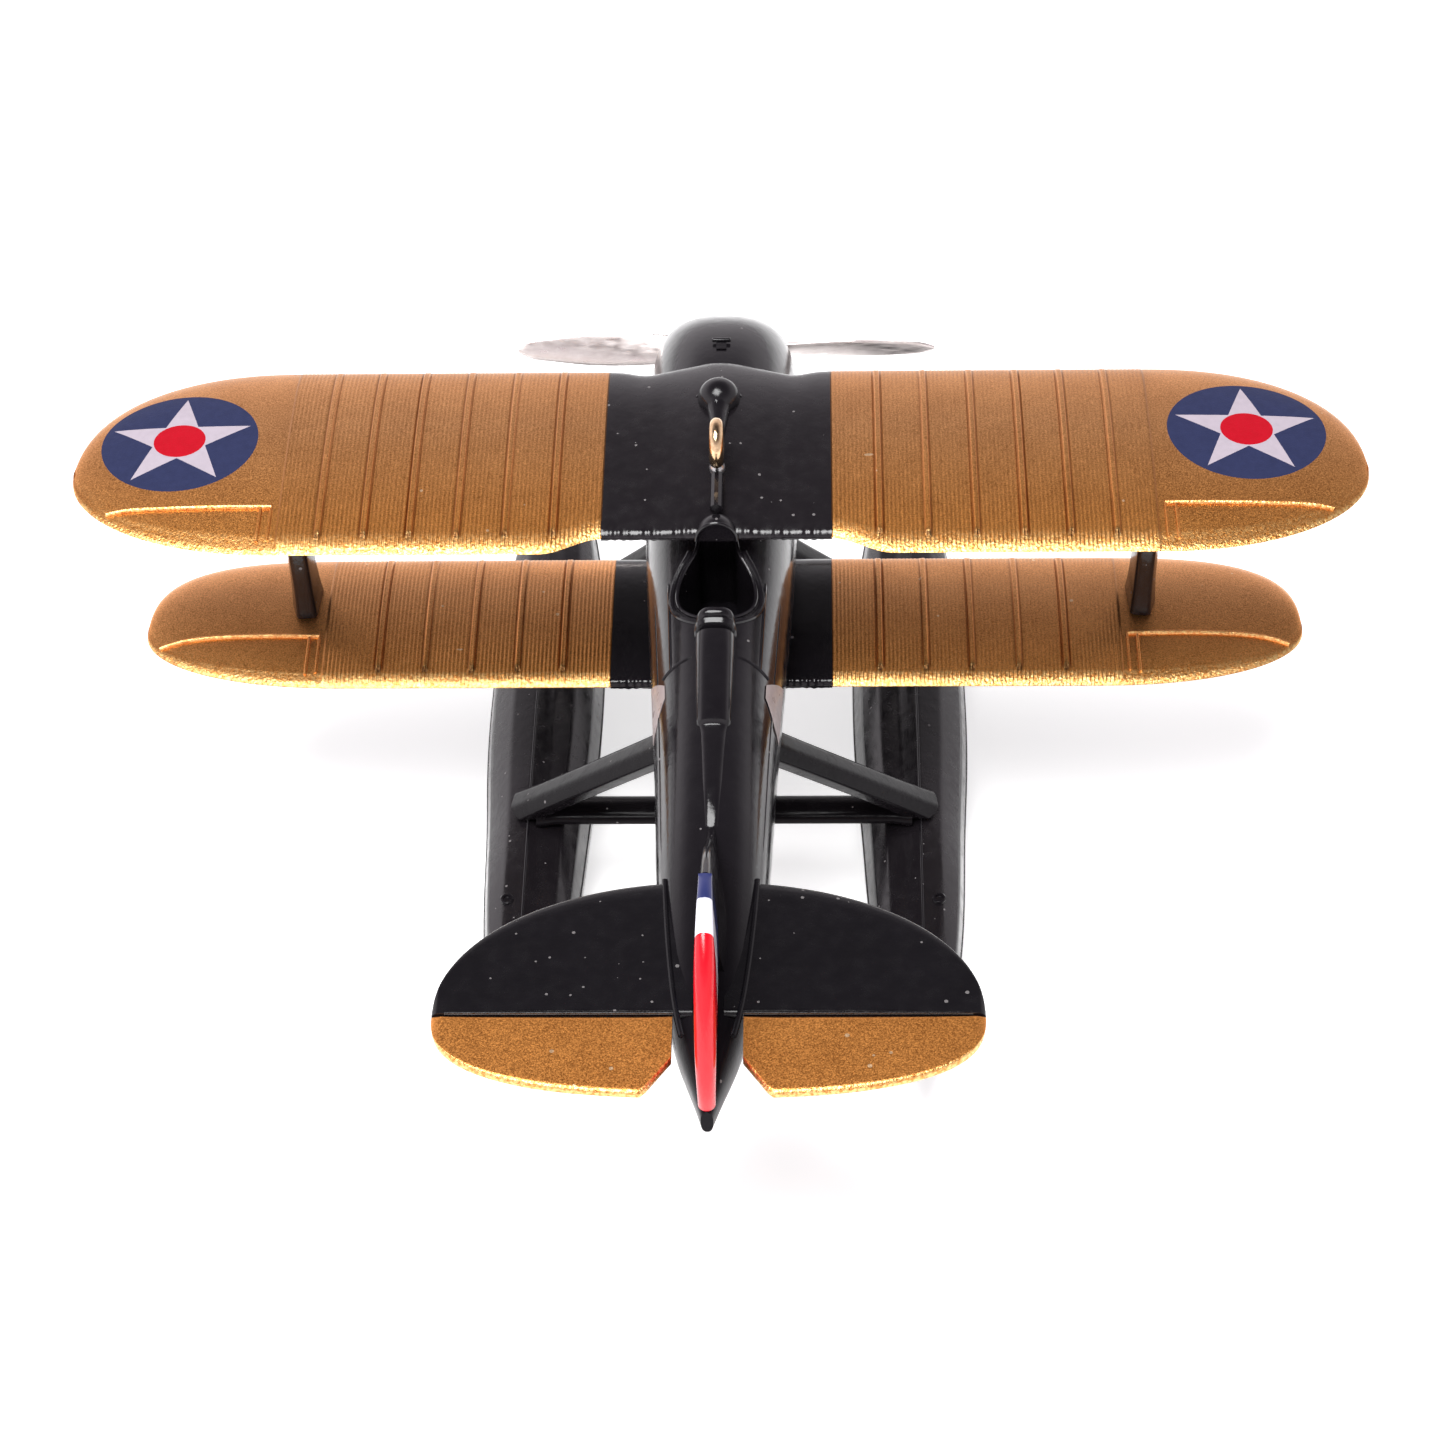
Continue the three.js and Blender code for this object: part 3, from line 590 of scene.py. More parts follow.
def striped_coat(name):
    """Blue, white and red bands across the rudder, from its hinge aft."""
    finish, tree, shader, where = lacquer(name, (0.70, 0.01, 0.02), 0.16, dust=0.05)
    wobble = times(tree, maths(tree, "SUBTRACT", noise(tree, where, 0.6), 0.5), 0.25 * MM)
    y = plus(tree, part_of(tree, where, "Y"), wobble)
    fade = noise(tree, where, 0.9)
    red = between(tree, fade, (0.52, 0.002, 0.010), (0.66, 0.003, 0.014))
    white = between(tree, fade, (0.60, 0.60, 0.68), (0.76, 0.76, 0.84))
    blue = between(tree, fade, (0.014, 0.020, 0.085), (0.026, 0.034, 0.13))
    aft = between(tree, below(tree, y, WHITE_BAND_END * MM), white, red)
    feed(shader, "Base Color", between(tree, above(tree, y, BLUE_BAND_END * MM), aft, blue))
    return finish


def metal(name, low, high, roughness, grain, scratch=(1, 1, 1), pitted=0.5):
    """Bare or silvered metal: fine drawn grain, blotches and small pits."""
    finish, tree, shader, where = make_finish(name, high, roughness, 1.0)
    streaks = noise(tree, where, grain, 4, stretch=scratch)
    mottle = span(tree, plus(tree, streaks, noise(tree, where, 0.9)), 0.7, 1.3, 0, 1)
    pits = times(tree, specks(tree, where, 1.1, 0.16, 0.25), pitted)
    feed(shader, "Base Color", between(tree, pits, between(tree, mottle, low, high), tinted(low, 0.45)))
    feed(shader, "Roughness", span(tree, streaks, 0.3, 0.7, roughness * 0.7, roughness * 1.5))
    bumped(tree, shader, streaks, 0.005, 0.35)
    return finish


black_lacquer = lacquer("black_lacquer", (0.0070, 0.0060, 0.0075), 0.15, shine=0.36)[0]
body_black = body_coat("body_black", (0.0070, 0.0060, 0.0075))
strut_black = lacquer("strut_black", (0.0060, 0.0050, 0.0060), 0.20, dust=0.20, shine=0.07)[0]
dusty_black = lacquer("dusty_black", (0.0080, 0.0066, 0.0080), 0.20, dust=0.30, shine=0.48)[0]
tail_black = lacquer("tail_black", (0.0050, 0.0044, 0.0056), 0.20, dust=0.40, shine=0.22)[0]
# Painted shade: a dull dark brown that stands in for the shaded gold undersides of the wings.
underside_shade = lacquer("underside_shade", (0.050, 0.040, 0.034), 0.40)[0]
cockpit_grey = lacquer("cockpit_grey", (0.050, 0.047, 0.052), 0.40)[0]
gold_paint = gold_coat("gold_paint")[0]
lower_gold = gold_coat("lower_gold", 1.22)[0]
tail_gold = gold_coat("tail_gold", 1.08, worn=0.60)[0]
star_gold = {side: star_coat("star_gold_" + side, STAR_CENTRES[side]) for side, _ in SIDES}
striped_paint = striped_coat("striped_paint")
white_patch = lacquer("white_patch", (0.27, 0.225, 0.22), 0.34, dust=0.05, shine=0.2)[0]
silver_paint = metal("silver_paint", (0.68, 0.61, 0.59), (0.84, 0.78, 0.76), 0.36, 2.2, (0.25, 1, 1), 0.25)
brass = metal("brass", (0.52, 0.33, 0.18), (0.86, 0.62, 0.38), 0.14, 3.0)
steel = metal("steel", (0.34, 0.34, 0.35), (0.62, 0.61, 0.60), 0.24, 3.0)

set_camera()
set_studio()

# ---------------------------------------------------------------- wings


def rounded_end(u, power):
    """Falls from 1 to 0 as u goes from 0 to 1, round like a squared-off ellipse."""
    return (1 - u ** power) ** (1 / power)


def lead_line(wing, x):
    u = np.clip((np.abs(x) - wing["lead_from"]) / (wing["tip"] - wing["lead_from"]), 0, 1)
    return wing["tip_at"] + (wing["lead"] - wing["tip_at"]) * rounded_end(u, wing["lead_power"])


def trail_line(wing, x):
    u = np.clip((np.abs(x) - wing["trail_from"]) / (wing["tip"] - wing["trail_from"]), 0, 1)
    edge = wing["tip_at"] + (wing["trail"] - wing["tip_at"]) * rounded_end(u, wing["trail_power"])
    if wing is UPPER:
        edge = edge + NOTCH_DEPTH * ease((NOTCH_FROM - np.abs(x)) / (NOTCH_FROM - CENTRE_HALF))
    return edge


def bulge(s):
    return 2.969 * np.sqrt(s) - 1.26 * s - 3.516 * s ** 2 + 2.843 * s ** 3 - 1.036 * s ** 4


EDGE_SHARE = 0.082      # the rolled trailing edge's part of the chord
BLACK_EDGE_SHARE = 0.022
LAP = 0.10              # the black lengths run this far past their joints, so no gap shows


def wing_skin(wing, x, s, top, edge=EDGE_SHARE):
    """y and z of the wing's smooth skin at x, a part s of the chord behind the leading edge."""
    lead, trail = lead_line(wing, x), trail_line(wing, x)
    share = np.maximum((lead - trail) / (wing["lead"] - wing["trail"]), 0.12) ** 0.8
    upper = wing["base"] + share * (wing["crown"] * bulge(s) + 0.18 * s)
    start = 1 - edge
    rim = wing["base"] + share * (wing["crown"] * bulge(start) + 0.18 * start)
    t = np.clip((s - start) / edge, 0, 1)
    rolled = rim - share * 0.62 * (0.62 * t + 0.38 * t ** 3)
    upper = np.where(s > start, rolled, upper)
    lower = wing["base"] - share * (wing["belly"] * bulge(s) + 0.18 * s)
    return lead - s * (lead - trail), np.where(top, upper, lower)


CHORD_TOP = np.concatenate([[1, .994, .984, .972, .96, .948, .936, .926, .918, .91, .902, .895, .885],
                            np.linspace(.87, .12, 22), [.09, .065, .045, .028, .015, .006, .001, 0]])
CHORD_UNDER = np.array([.001, .006, .02, .05, .1, .18, .3, .45, .6, .75, .88, .96, 1])
CHORD = np.concatenate([CHORD_TOP, CHORD_UNDER, [1]])
ON_TOP = np.concatenate([np.ones(len(CHORD_TOP), bool), np.zeros(len(CHORD_UNDER), bool), [True]])


def ribbed_panel(name, wing, inner, ribs, panel_end, depth):
    """A doped wing panel: fine ridges and raised ribs inboard, smooth to the rounded tip."""
    ridged = np.linspace(inner, panel_end + 0.3, int((panel_end + 0.3 - inner) / 0.045))
    t = np.linspace(0, 0.985, 44)[1:]
    smooth_part = ridged[-1] + (wing["tip"] - ridged[-1]) * np.sin(t * math.pi / 2)
    columns = np.concatenate([ridged, smooth_part])

    def place(u, v):
        x = columns[np.rint(u * (len(columns) - 1)).astype(int)]
        row = np.rint(v * (len(CHORD) - 1)).astype(int)
        s, top = CHORD[row], ON_TOP[row]
        y, z = wing_skin(wing, x, s, top)
        from_edge = y - trail_line(wing, x)
        inboard = ease((panel_end - x) / 0.2)
        fine = depth * np.cos(2 * math.pi * x / RIDGE_PITCH) * inboard
        fine = fine * ease(from_edge / 1.0) * ease(s / 0.02) * (1 - 0.45 * ease((0.80 - s) / 0.15))
        rib, grooves, bars = np.zeros((3, len(x)))
        for r in ribs:
            near = np.clip(1 - (np.abs(x - r) / RIB_HALF) ** 4, 0, 1) ** 0.5
            groove = np.exp(-((x - r - RIB_HALF - 0.08) / 0.075) ** 2)
            groove = groove + 0.8 * np.exp(-((x - r + RIB_HALF + 0.08) / 0.07) ** 2)
            rib = rib + RIB_HEIGHT * near - 0.07 * groove
            grooves = grooves + groove
            bars = bars + near
        reach = ease((from_edge - 1.5) / 0.5)
        rib = rib * reach * ease(s / 0.05)
        fall = -0.10 * ease((x - panel_end) / 0.25) * ease(s / 0.03) * ease(from_edge / 1.2)
        z = z + np.where(top, fine + rib + fall, -fine * 0.6)
        # Painted shade: the valleys between the fine ridges, the grooves beside each rib, the rounded rib
        # ends and both panel ends are marked to be darkened in the gold coat.
        quiet = 1 - 0.55 * ease((s - 0.05) / 0.1) * ease((0.80 - s) / 0.15)
        valleys = 0.10 * (1 - np.cos(2 * math.pi * x / RIDGE_PITCH)) * inboard * quiet
        valleys = valleys * ease(from_edge / 1.2)
        rib_ends = 0.95 * bars * np.exp(-((from_edge - 1.72) / 0.40) ** 2)
        inner_end = 0.9 * (x < inner + 0.12)
        outer_end = 0.45 * np.exp(-((x - panel_end - 0.10) / 0.14) ** 2)
        outer_end = outer_end * ease((from_edge - 1.2) / 0.5)
        painted_shade = np.clip(valleys + 0.55 * grooves * reach + rib_ends + inner_end + outer_end, 0, 1) * top
        return x, y, z, painted_shade
    return rolled_grid(name, len(columns) - 1, len(CHORD) - 1, place, 50)


def two_coats(panel, coat):
    """The coat above, and below it painted shade: a dull dark brown on the faces that look down."""
    panel.data.materials.clear()
    panel.data.materials.append(coat)
    panel.data.materials.append(underside_shade)
    for face in panel.data.polygons:
        face.material_index = int(face.normal.z < -0.3)


def on_wing(wing, x, y):
    """The point of the upper skin over (x, y)."""
    s = (lead_line(wing, x) - y) / (lead_line(wing, x) - trail_line(wing, x))
    return (x, y, float(wing_skin(wing, np.array(float(x)), np.array(float(s)), True)[1]))


def lying(wing, path, count, sink):
    return [Vector(on_wing(wing, x, y)) + Vector((0, 0, sink)) for x, y in along_path(path, count)]


def aileron(label, wing, hinge, coat):
    """The raised hinge ridge and the two lines at the inner end of an aileron, on both sides."""
    x, y = hinge[0]
    edge = trail_line(wing, x) + 1.2
    ridge = bead(label + "_aileron_ridge_starboard", lying(wing, hinge, 40, -0.05), 0.24)
    seam = bead(label + "_aileron_seam_starboard",
                lying(wing, ((x + 0.9, y - 0.2), (x + 0.95, edge)), 14, 0.0), 0.13)
    rim = bead(label + "_aileron_end_starboard",
               lying(wing, ((x + 0.02, y - 0.1), (x + 0.02, edge + 0.2)), 14, -0.02), 0.10)
    both_sides(ridge, label + "_aileron_ridge_", coat)
    both_sides(seam, label + "_aileron_seam_", coat)
    both_sides(rim, label + "_aileron_end_", coat)


def wing_panels():
    for label, wing, inner, ribs, depth, hinge in (
            ("upper", UPPER, CENTRE_HALF, UPPER_RIBS, 0.020, UPPER_HINGE),
            ("lower", LOWER, ROOT_HALF, LOWER_RIBS, 0.027, LOWER_HINGE)):
        panel = ribbed_panel(label + "_panel_starboard", wing, inner + 0.06, ribs, PANEL_END[label], depth)
        for piece, side in pair(panel, label + "_panel_"):
            coat = star_gold[side] if wing is UPPER else lower_gold
            two_coats(piece, coat)
            fitted(piece, coat, label + "_wing_" + side)
        aileron(label, wing, hinge, gold_paint if wing is UPPER else lower_gold)


def black_wing(name, wing, inner, outer, hump):
    """A smooth black length of wing between two stations, its rear edge a little uneven."""
    columns = np.linspace(inner, outer, 160)

    def place(u, v):
        x = columns[np.rint(u * (len(columns) - 1)).astype(int)]
        row = np.rint(v * (len(CHORD) - 1)).astype(int)
        s, top = CHORD[row], ON_TOP[row]
        y, z = wing_skin(wing, x, s, top, BLACK_EDGE_SHARE)
        uneven = np.sin(5.1 * x) * np.sin(2.3 * x + 1.2) + 0.6 * np.sin(9.7 * x)
        z = z + 0.05 * uneven * ease((s - 0.955) / 0.015) * top
        if hump:
            wave = 0.85 * np.exp(-(x / 3.2) ** 2) - 0.55 * np.exp(-((np.abs(x) - 6.6) / 1.6) ** 2)
            y = y + wave * (1 - s) ** 2
            lift = 0.55 * ease(1 - np.abs(x) / 5.6) * np.sin(math.pi * np.clip(s, 0, 1)) ** 0.6
            z = z + np.where(top, lift + 0.35 * wave * (1 - s) ** 4 * (wave > 0), 0)
        return x, y, z
    return rolled_grid(name, len(columns) - 1, len(CHORD) - 1, place, 50)


def middle_wings():
    centre = black_wing("centre_section", UPPER, -CENTRE_HALF - LAP, CENTRE_HALF + LAP, True)
    fitted(centre, dusty_black, "upper_wing_centre")
    root = black_wing("lower_root_starboard", LOWER, 4.6, ROOT_HALF + LAP, False)
    both_sides(root, "lower_root_", black_lacquer, "lower_wing_root_")


# ---------------------------------------------------------------- fuselage

body_half, body_belly = smooth_line(BODY_AT, BODY_HALF), smooth_line(BODY_AT, BODY_BELLY)
body_spine, body_widest = smooth_line(BODY_AT, BODY_SPINE), smooth_line(WIDEST_AT, WIDEST)


def body_point(y, turn, grow=0.0):
    half, mid = body_half(y) + grow, body_widest(y)
    c, s = np.cos(turn), np.sin(turn)
    reach = np.where(s > 0, body_spine(y) + grow - mid, mid - body_belly(y) + grow)
    return half * np.sign(c) * np.abs(c) ** ROUNDNESS, y, mid + np.sign(s) * np.abs(s) ** ROUNDNESS * reach


def deck_height(x, y):
    c = min(abs(x) / float(body_half(y)), 1) ** (1 / ROUNDNESS)
    return float(body_widest(y) + math.sqrt(1 - c * c) ** ROUNDNESS * (body_spine(y) - body_widest(y)))


def on_side(degrees, sign):
    """A turn round the body, up from its widest line on the side that sign gives."""
    turn = math.radians(degrees)
    return turn if sign > 0 else math.pi - turn


def pear_path(grow, count=72):
    """The cockpit's outline, from above, grown outwards; it runs round to its start."""
    half = along_path(PEAR, count // 2)
    half[:, 0] = np.maximum(half[:, 0], 0)
    ring = np.array([(x, y) for x, y in half] + [(-x, y) for x, y in half[::-1][1:-1]])
    out = []
    for i in range(len(ring)):
        side = ring[(i + 1) % len(ring)] - ring[i - 1]
        normal = np.array([-side[1], side[0]]) / max(np.linalg.norm(side), 1e-6)
        out.append(ring[i] + normal * grow)
    return out


def fuselage():
    def place(u, v):
        return body_point(BODY_TAIL + u * (COWL_FROM - BODY_TAIL), v * 2 * math.pi)
    shell = rolled_grid("fuselage_shell", 149, 96, place, 40)
    fresh()
    outline = pear_path(0)
    bpy.ops.mesh.primitive_circle_add(vertices=len(outline), radius=MM, fill_type="NGON")
    cutter = named("cockpit_cutter")
    for corner, (x, y) in zip(cutter.data.vertices, outline):
        corner.co = (x * MM, y * MM, COCKPIT_FLOOR * MM)
    open_mesh()
    bpy.ops.mesh.extrude_region_move(TRANSFORM_OT_translate={"value": (0, 0, 14 * MM)})
    close_mesh()
    settle(cutter)
    picked(shell)
    cut = shell.modifiers.new("cockpit", "BOOLEAN")
    cut.object, cut.operation, cut.solver = cutter, "DIFFERENCE", "EXACT"
    bpy.ops.object.modifier_apply(modifier="cockpit")
    bpy.data.objects.remove(cutter)
    picked(shell)
    bpy.ops.object.shade_smooth_by_angle(angle=math.radians(40))
    fitted(shell, body_black, "body_half_port", "body_half_starboard", "cockpit_deck", "cockpit_tub")


def cowl():
    rows = list(np.linspace(COWL_FROM, 40.2, 50)) + [40.7, 41.1]
    turns = round_turn(96)
    rings = []
    for y in rows:
        x, _, z = body_point(float(y), turns)
        rings.append(np.stack([x, np.full_like(x, y), z], 1))
    last = rings[-1]
    for push, draw in ((0.16, 0.80), (0.22, 0.66), (0.14, 0.58), (-0.5, 0.55), (-2.2, 0.54)):
        ring = last.copy()
        ring[:, 0] = last[:, 0] * draw
        ring[:, 2] = THRUST + (last[:, 2] - THRUST) * draw
        ring[:, 1] = 41.1 + push
        rings.append(ring)
    shell = through_rings("engine_cowling", rings, 40)
    fitted(shell, black_lacquer, "engine_cowl")
    top = float(body_spine(VENT_AT))
    vent = bevelled_block("cowl_vent_scoop", (0, VENT_AT, top + 0.02), (1.25, 1.25, 0.6), 0.10)
    for face in vent.data.polygons:
        face.select = face.normal.z > 0.9 and face.area > (0.7 * MM) ** 2
    bpy.ops.object.mode_set(mode="EDIT")
    bpy.ops.mesh.select_mode(type="FACE")
    bpy.ops.mesh.inset(thickness=0.15 * MM, depth=0)
    bpy.ops.mesh.inset(thickness=0.06 * MM, depth=-0.45 * MM)
    close_mesh()
    fitted(settle(vent), black_lacquer, "cowl_vent")
    cap = bevelled_block("cowl_vent_cap", (0, VENT_AT + 0.7, top + 0.24), (1.7, 0.36, 0.36), 0.12)
    fitted(settle(cap), black_lacquer)
    sleeve = ((-3.2, 1.02), (0.1, 1.02), (0.25, 1.14), (0.25, 1.75), (0.1, 1.92), (-3.2, 1.92),
              (-3.2, 1.02))
    bearing = turned("nose_bearing_ring", sleeve, (0, 41.15, THRUST), smooth=30)
    fitted(bearing, steel, "nose_bearing")


def deck_line(points, count, lift):
    """A path that lies on the fuselage's upper skin."""
    return [(x, y, deck_height(x, y) + lift) for x, y in along_path(points, count)]


def side_line(start, end, turn, count, lift):
    """A path along the skin at one turn round the body; its ends dip under the skin."""
    dips = lift - 0.3 * np.abs(np.linspace(-1, 1, count)) ** 12
    return [tuple(float(c) for c in body_point(float(y), turn, float(dip)))
            for y, dip in zip(np.linspace(start, end, count), dips)]


def cockpit():
    lip = [(x, y, deck_height(x, y) + 0.02) for x, y in pear_path(0.10)]
    fitted(bead("cockpit_lip", lip, 0.17, True), black_lacquer)
    coaming = [(x, y, deck_height(x, y) - 0.06) for x, y in pear_path(0.56) if y < 3.4]
    gaps = [np.linalg.norm(np.subtract(corner, coaming[i - 1])) for i, corner in enumerate(coaming)]
    split = int(np.argmax(gaps))
    fitted(bead("cockpit_coaming", coaming[split:] + coaming[:split], 0.30), black_lacquer)
    # the pilot's seat: pan and a raked back
    back = bevelled_block("seat_back", (0, -3.05, 36.4), (3.3, 0.55, 5.4), 0.16)
    for corner in back.data.vertices:
        up = (corner.co.z / MM - 33.7) / 5.4
        corner.co.x *= 1.12 - 0.30 * up
        corner.co.y -= 0.55 * MM * up
    fitted(settle(back), cockpit_grey, "pilot_seat")
    pan = bevelled_block("seat_pan", (0, -1.2, 36.0), (3.3, 3.0, 0.6), 0.18)
    fitted(settle(pan), cockpit_grey)
    stick = bead("control_stick", [(0, 1.6, 33.2), (0, 1.3, 35.0), (0, 0.9, 36.6)], 0.20)
    fitted(stick, cockpit_grey)


def headrest():
    """The long fairing behind the cockpit, with two rolls at its front."""
    at = (-27.2, -26.8, -22.0, -17.2, -16.6, -16.45, -16.3, -15.9, -12.5, -9.5, -7.6, -6.95, -6.84, -6.74,
          -6.6, -6.25, -5.95, -5.78, -5.64, -5.5, -5.3, -4.9, -4.5, -4.3, -4.18)
    top = (38.3, 38.8, 39.38, 39.8, 39.87, 39.95, 40.3, 40.4, 40.85, 41.3, 41.62, 41.64, 41.4, 41.2,
           42.0, 42.2, 42.0, 41.5, 41.1, 41.5, 41.9, 42.02, 41.85, 41.4, 40.7)
    wide = (0.4, 0.7, 1.0, 1.25, 1.3, 1.34, 1.46, 1.5, 1.6, 1.68, 1.72, 1.72, 1.58, 1.5,
            1.78, 1.88, 1.8, 1.6, 1.42, 1.55, 1.68, 1.7, 1.6, 1.45, 1.2)
    turns = np.linspace(0, math.pi, 33)
    rings = []
    for y, high, half in zip(at, top, wide):
        foot = deck_height(1.7, y) - 0.9
        rings.append([(half * np.sign(math.cos(a)) * abs(math.cos(a)) ** 0.62, y,
                       foot + (high - foot) * math.sin(a) ** 0.55) for a in turns])
    fairing = through_rings("headrest_roll_fairing", rings, 50)
    fitted(fairing, black_lacquer, "headrest_fairing")
    for side, sign in SIDES:
        vee = deck_line([(sign * 1.9, -8.5), (sign * 3.2, -8.78), (sign * 4.4, -9.05)], 18, 0.0)
        fitted(bead("deck_seam_" + side, vee, 0.13), black_lacquer)
        rail = side_line(1.6, -9.6, on_side(52, sign), 40, -0.16)
        fitted(bead("deck_rail_" + side, rail, 0.26), black_lacquer)
        strip = side_line(3.0, -29.5, on_side(30, sign), 80, -0.24)
        fitted(bead("body_rail_" + side, strip, 0.32), black_lacquer)


def side_patches():
    """A white panel on each flank, just behind the lower wing."""
    rows, cols = 14, 22
    for side, sign in SIDES:
        fresh()
        bpy.ops.mesh.primitive_grid_add(x_subdivisions=cols, y_subdivisions=rows, size=2)
        patch = named("flank_panel_" + side)
        for corner in patch.data.vertices:
            u, v = (corner.co.x + 1) / 2, (corner.co.y + 1) / 2
            front, back = -10.0 + 3.4 * (1 - v), -13.7 + 1.4 * abs(v - 0.4) + 1.4 * v
            y = front + (back - front) * u
            corner.co = [float(c) * MM for c in body_point(y, on_side(10 + 33 * v, sign), 0.06)]
        picked(patch)
        bpy.ops.object.mode_set(mode="EDIT")
        bpy.ops.mesh.select_all(action="SELECT")
        bpy.ops.mesh.extrude_region_shrink_fatten(TRANSFORM_OT_shrink_fatten={"value": -0.05 * MM})
        close_mesh()
        fitted(settle(patch), white_patch)


def tank():
    """The teardrop on the middle of the upper wing, with a bead in front and a spine behind."""
    x, y, z = TANK_AT
    fresh()
    bpy.ops.mesh.primitive_uv_sphere_add(segments=48, ring_count=32, radius=TANK_RADIUS * MM,
                                         location=(x, y * MM, z * MM))
    bpy.ops.object.transform_apply(location=True)
    drop = named("tank_teardrop")
    for corner in drop.data.vertices:
        behind = (y * MM - corner.co.y) / (TANK_RADIUS * MM)
        if behind > 0.86:
            corner.co.y -= 4.4 * MM * (behind - 0.86) / 0.14
    open_mesh()
    bpy.ops.mesh.bisect(plane_co=(0, 0, (z - 1) * MM), plane_no=(0, 0, -1), clear_outer=True, use_fill=True)
    close_mesh()
    fitted(settle(drop), black_lacquer, "tank_fairing")
    crescent = [(1.98 * math.cos(a), y + 1.98 * math.sin(a), z - 0.28 - 0.12 * math.sin(a))
                for a in np.linspace(0.25, math.pi - 0.25, 30)]
    fitted(bead("tank_front_bead", crescent, 0.13), black_lacquer)
    spine = [(0, y, 45.2 + 0.5 * math.sin(math.pi * (1 - (y - 3) / 14) * 0.8))
             for y in np.linspace(7.6, 3.6, 18)]
    fitted(bead("centre_spine", spine, 0.55), black_lacquer)


def hanging_ring():
    """The ring stands along the line of flight, on a small steel collar."""
    x, y, z = RING_AT
    fresh()
    bpy.ops.mesh.primitive_torus_add(major_radius=RING_RADIUS * MM, minor_radius=RING_WIRE * MM,
                                     major_segments=72, minor_segments=28,
                                     location=(x, y * MM, z * MM), rotation=(0, math.pi / 2, 0))
    fitted(settle(named("hanging_ring")), brass, "hanger_loop")
    profile = ((0, 0.7), (0.5, 0.7), (0.72, 0.66), (0.85, 0.55), (1.3, 0.48), (1.5, 0.45))
    fitted(turned_up("ring_collar", profile, (x, y, 45.0)), steel)


def windscreen():
    """A low dome, cut off flat behind, with a rim round the cut."""
    fresh()
    bpy.ops.mesh.primitive_uv_sphere_add(segments=48, ring_count=32, radius=MM)
    glass = named("windscreen_dome")
    for corner in glass.data.vertices:
        corner.co = (corner.co.x * 1.75, corner.co.y * 1.9 + 2.6 * MM, corner.co.z * 1.9 + 43.4 * MM)
    open_mesh()
    bpy.ops.mesh.bisect(plane_co=(0, 2.15 * MM, 0), plane_no=(0, -1, 0), clear_outer=True, use_fill=True)
    bpy.ops.mesh.select_all(action="SELECT")
    bpy.ops.mesh.bisect(plane_co=(0, 0, 43.3 * MM), plane_no=(0, 0, -1), clear_outer=True, use_fill=True)
    close_mesh()
    fitted(settle(glass), black_lacquer, "windscreen")
    arch = [(1.72 * math.cos(a), 2.12, 43.3 + 1.95 * math.sin(a)) for a in np.linspace(0, math.pi, 30)]
    fitted(bead("windscreen_rim", arch, 0.17), black_lacquer)


# ---------------------------------------------------------------- tail

def tail_lead(x):
    return TAIL_HINGE + (TAIL_LEAD - TAIL_HINGE) * rounded_end(x / TAIL_TIP, 2.1)


def tail_trail(x):
    edge = TAIL_HINGE + (TAIL_TRAIL - TAIL_HINGE) * rounded_end(x / TAIL_TIP, 2.6)
    return np.maximum(edge, -48.8 - np.clip(x - 2.7, 0, 2.2) * 3.4 / 2.2)


def flat_vane(name, inner, front, rear, thick, front_blunt, rear_blunt):
    """A thin tail surface with rounded edges; it runs from inner out to the rounded tip."""
    t = np.linspace(0, 0.992, 64)
    columns = inner + (TAIL_TIP - inner) * np.sin(t * math.pi / 2)
    s = np.concatenate([[0, .002, .008, .02, .04], np.linspace(.07, .93, 16), [.96, .98, .992, .998, 1]])
    loop, sign = np.concatenate([s, s[::-1][1:]]), np.concatenate([np.ones(len(s)), -np.ones(len(s) - 1)])

    def place(u, v):
        x = columns[np.rint(u * (len(columns) - 1)).astype(int)]
        row = np.rint(v * (len(loop) - 1)).astype(int)
        part = loop[row]
        lead, trail = front(x), rear(x)
        swell = np.clip(part / front_blunt, 0, 1) * (2 - np.clip(part / front_blunt, 0, 1))
        end = np.clip((1 - part) / rear_blunt, 0, 1)
        swell = np.sqrt(np.clip(swell * end * (2 - end), 0, 1))
        slim = np.clip((lead - trail) / 3.0, 0.25, 1)
        return x, lead - part * (lead - trail), TAIL_HEIGHT + sign[row] * thick / 2 * swell * slim
    return rolled_grid(name, len(columns) - 1, len(loop) - 1, place, 50)


def tailplane():
    def hinge(x):
        return np.full_like(x, TAIL_HINGE)
    top = TAIL_HEIGHT + TAIL_THICK / 2
    plane = flat_vane("tailplane_starboard", 1.2, tail_lead, hinge, TAIL_THICK, 0.10, 0.02)
    flap = flat_vane("elevator_flap_starboard", 2.72, lambda x: hinge(x) - 0.12, tail_trail,
                     TAIL_THICK * 0.9, 0.05, 0.055)
    rib = bead("tailplane_hinge_starboard",
               [(x, TAIL_HINGE + 0.12, top - 0.06) for x in np.linspace(2.4, 20.2, 30)], 0.13)
    fillet = bead("tailplane_fillet_starboard",
                  [(float(body_half(y)) * 0.80 + 0.15, y, TAIL_HEIGHT + 0.36)
                   for y in np.linspace(-30.6, -46.6, 40)], 0.25)
    both_sides(plane, "tailplane_", tail_black, "stabiliser_")
    both_sides(flap, "elevator_flap_", tail_gold, "elevator_")
    both_sides(rib, "tailplane_hinge_", tail_black)
    both_sides(fillet, "tailplane_fillet_", tail_black)


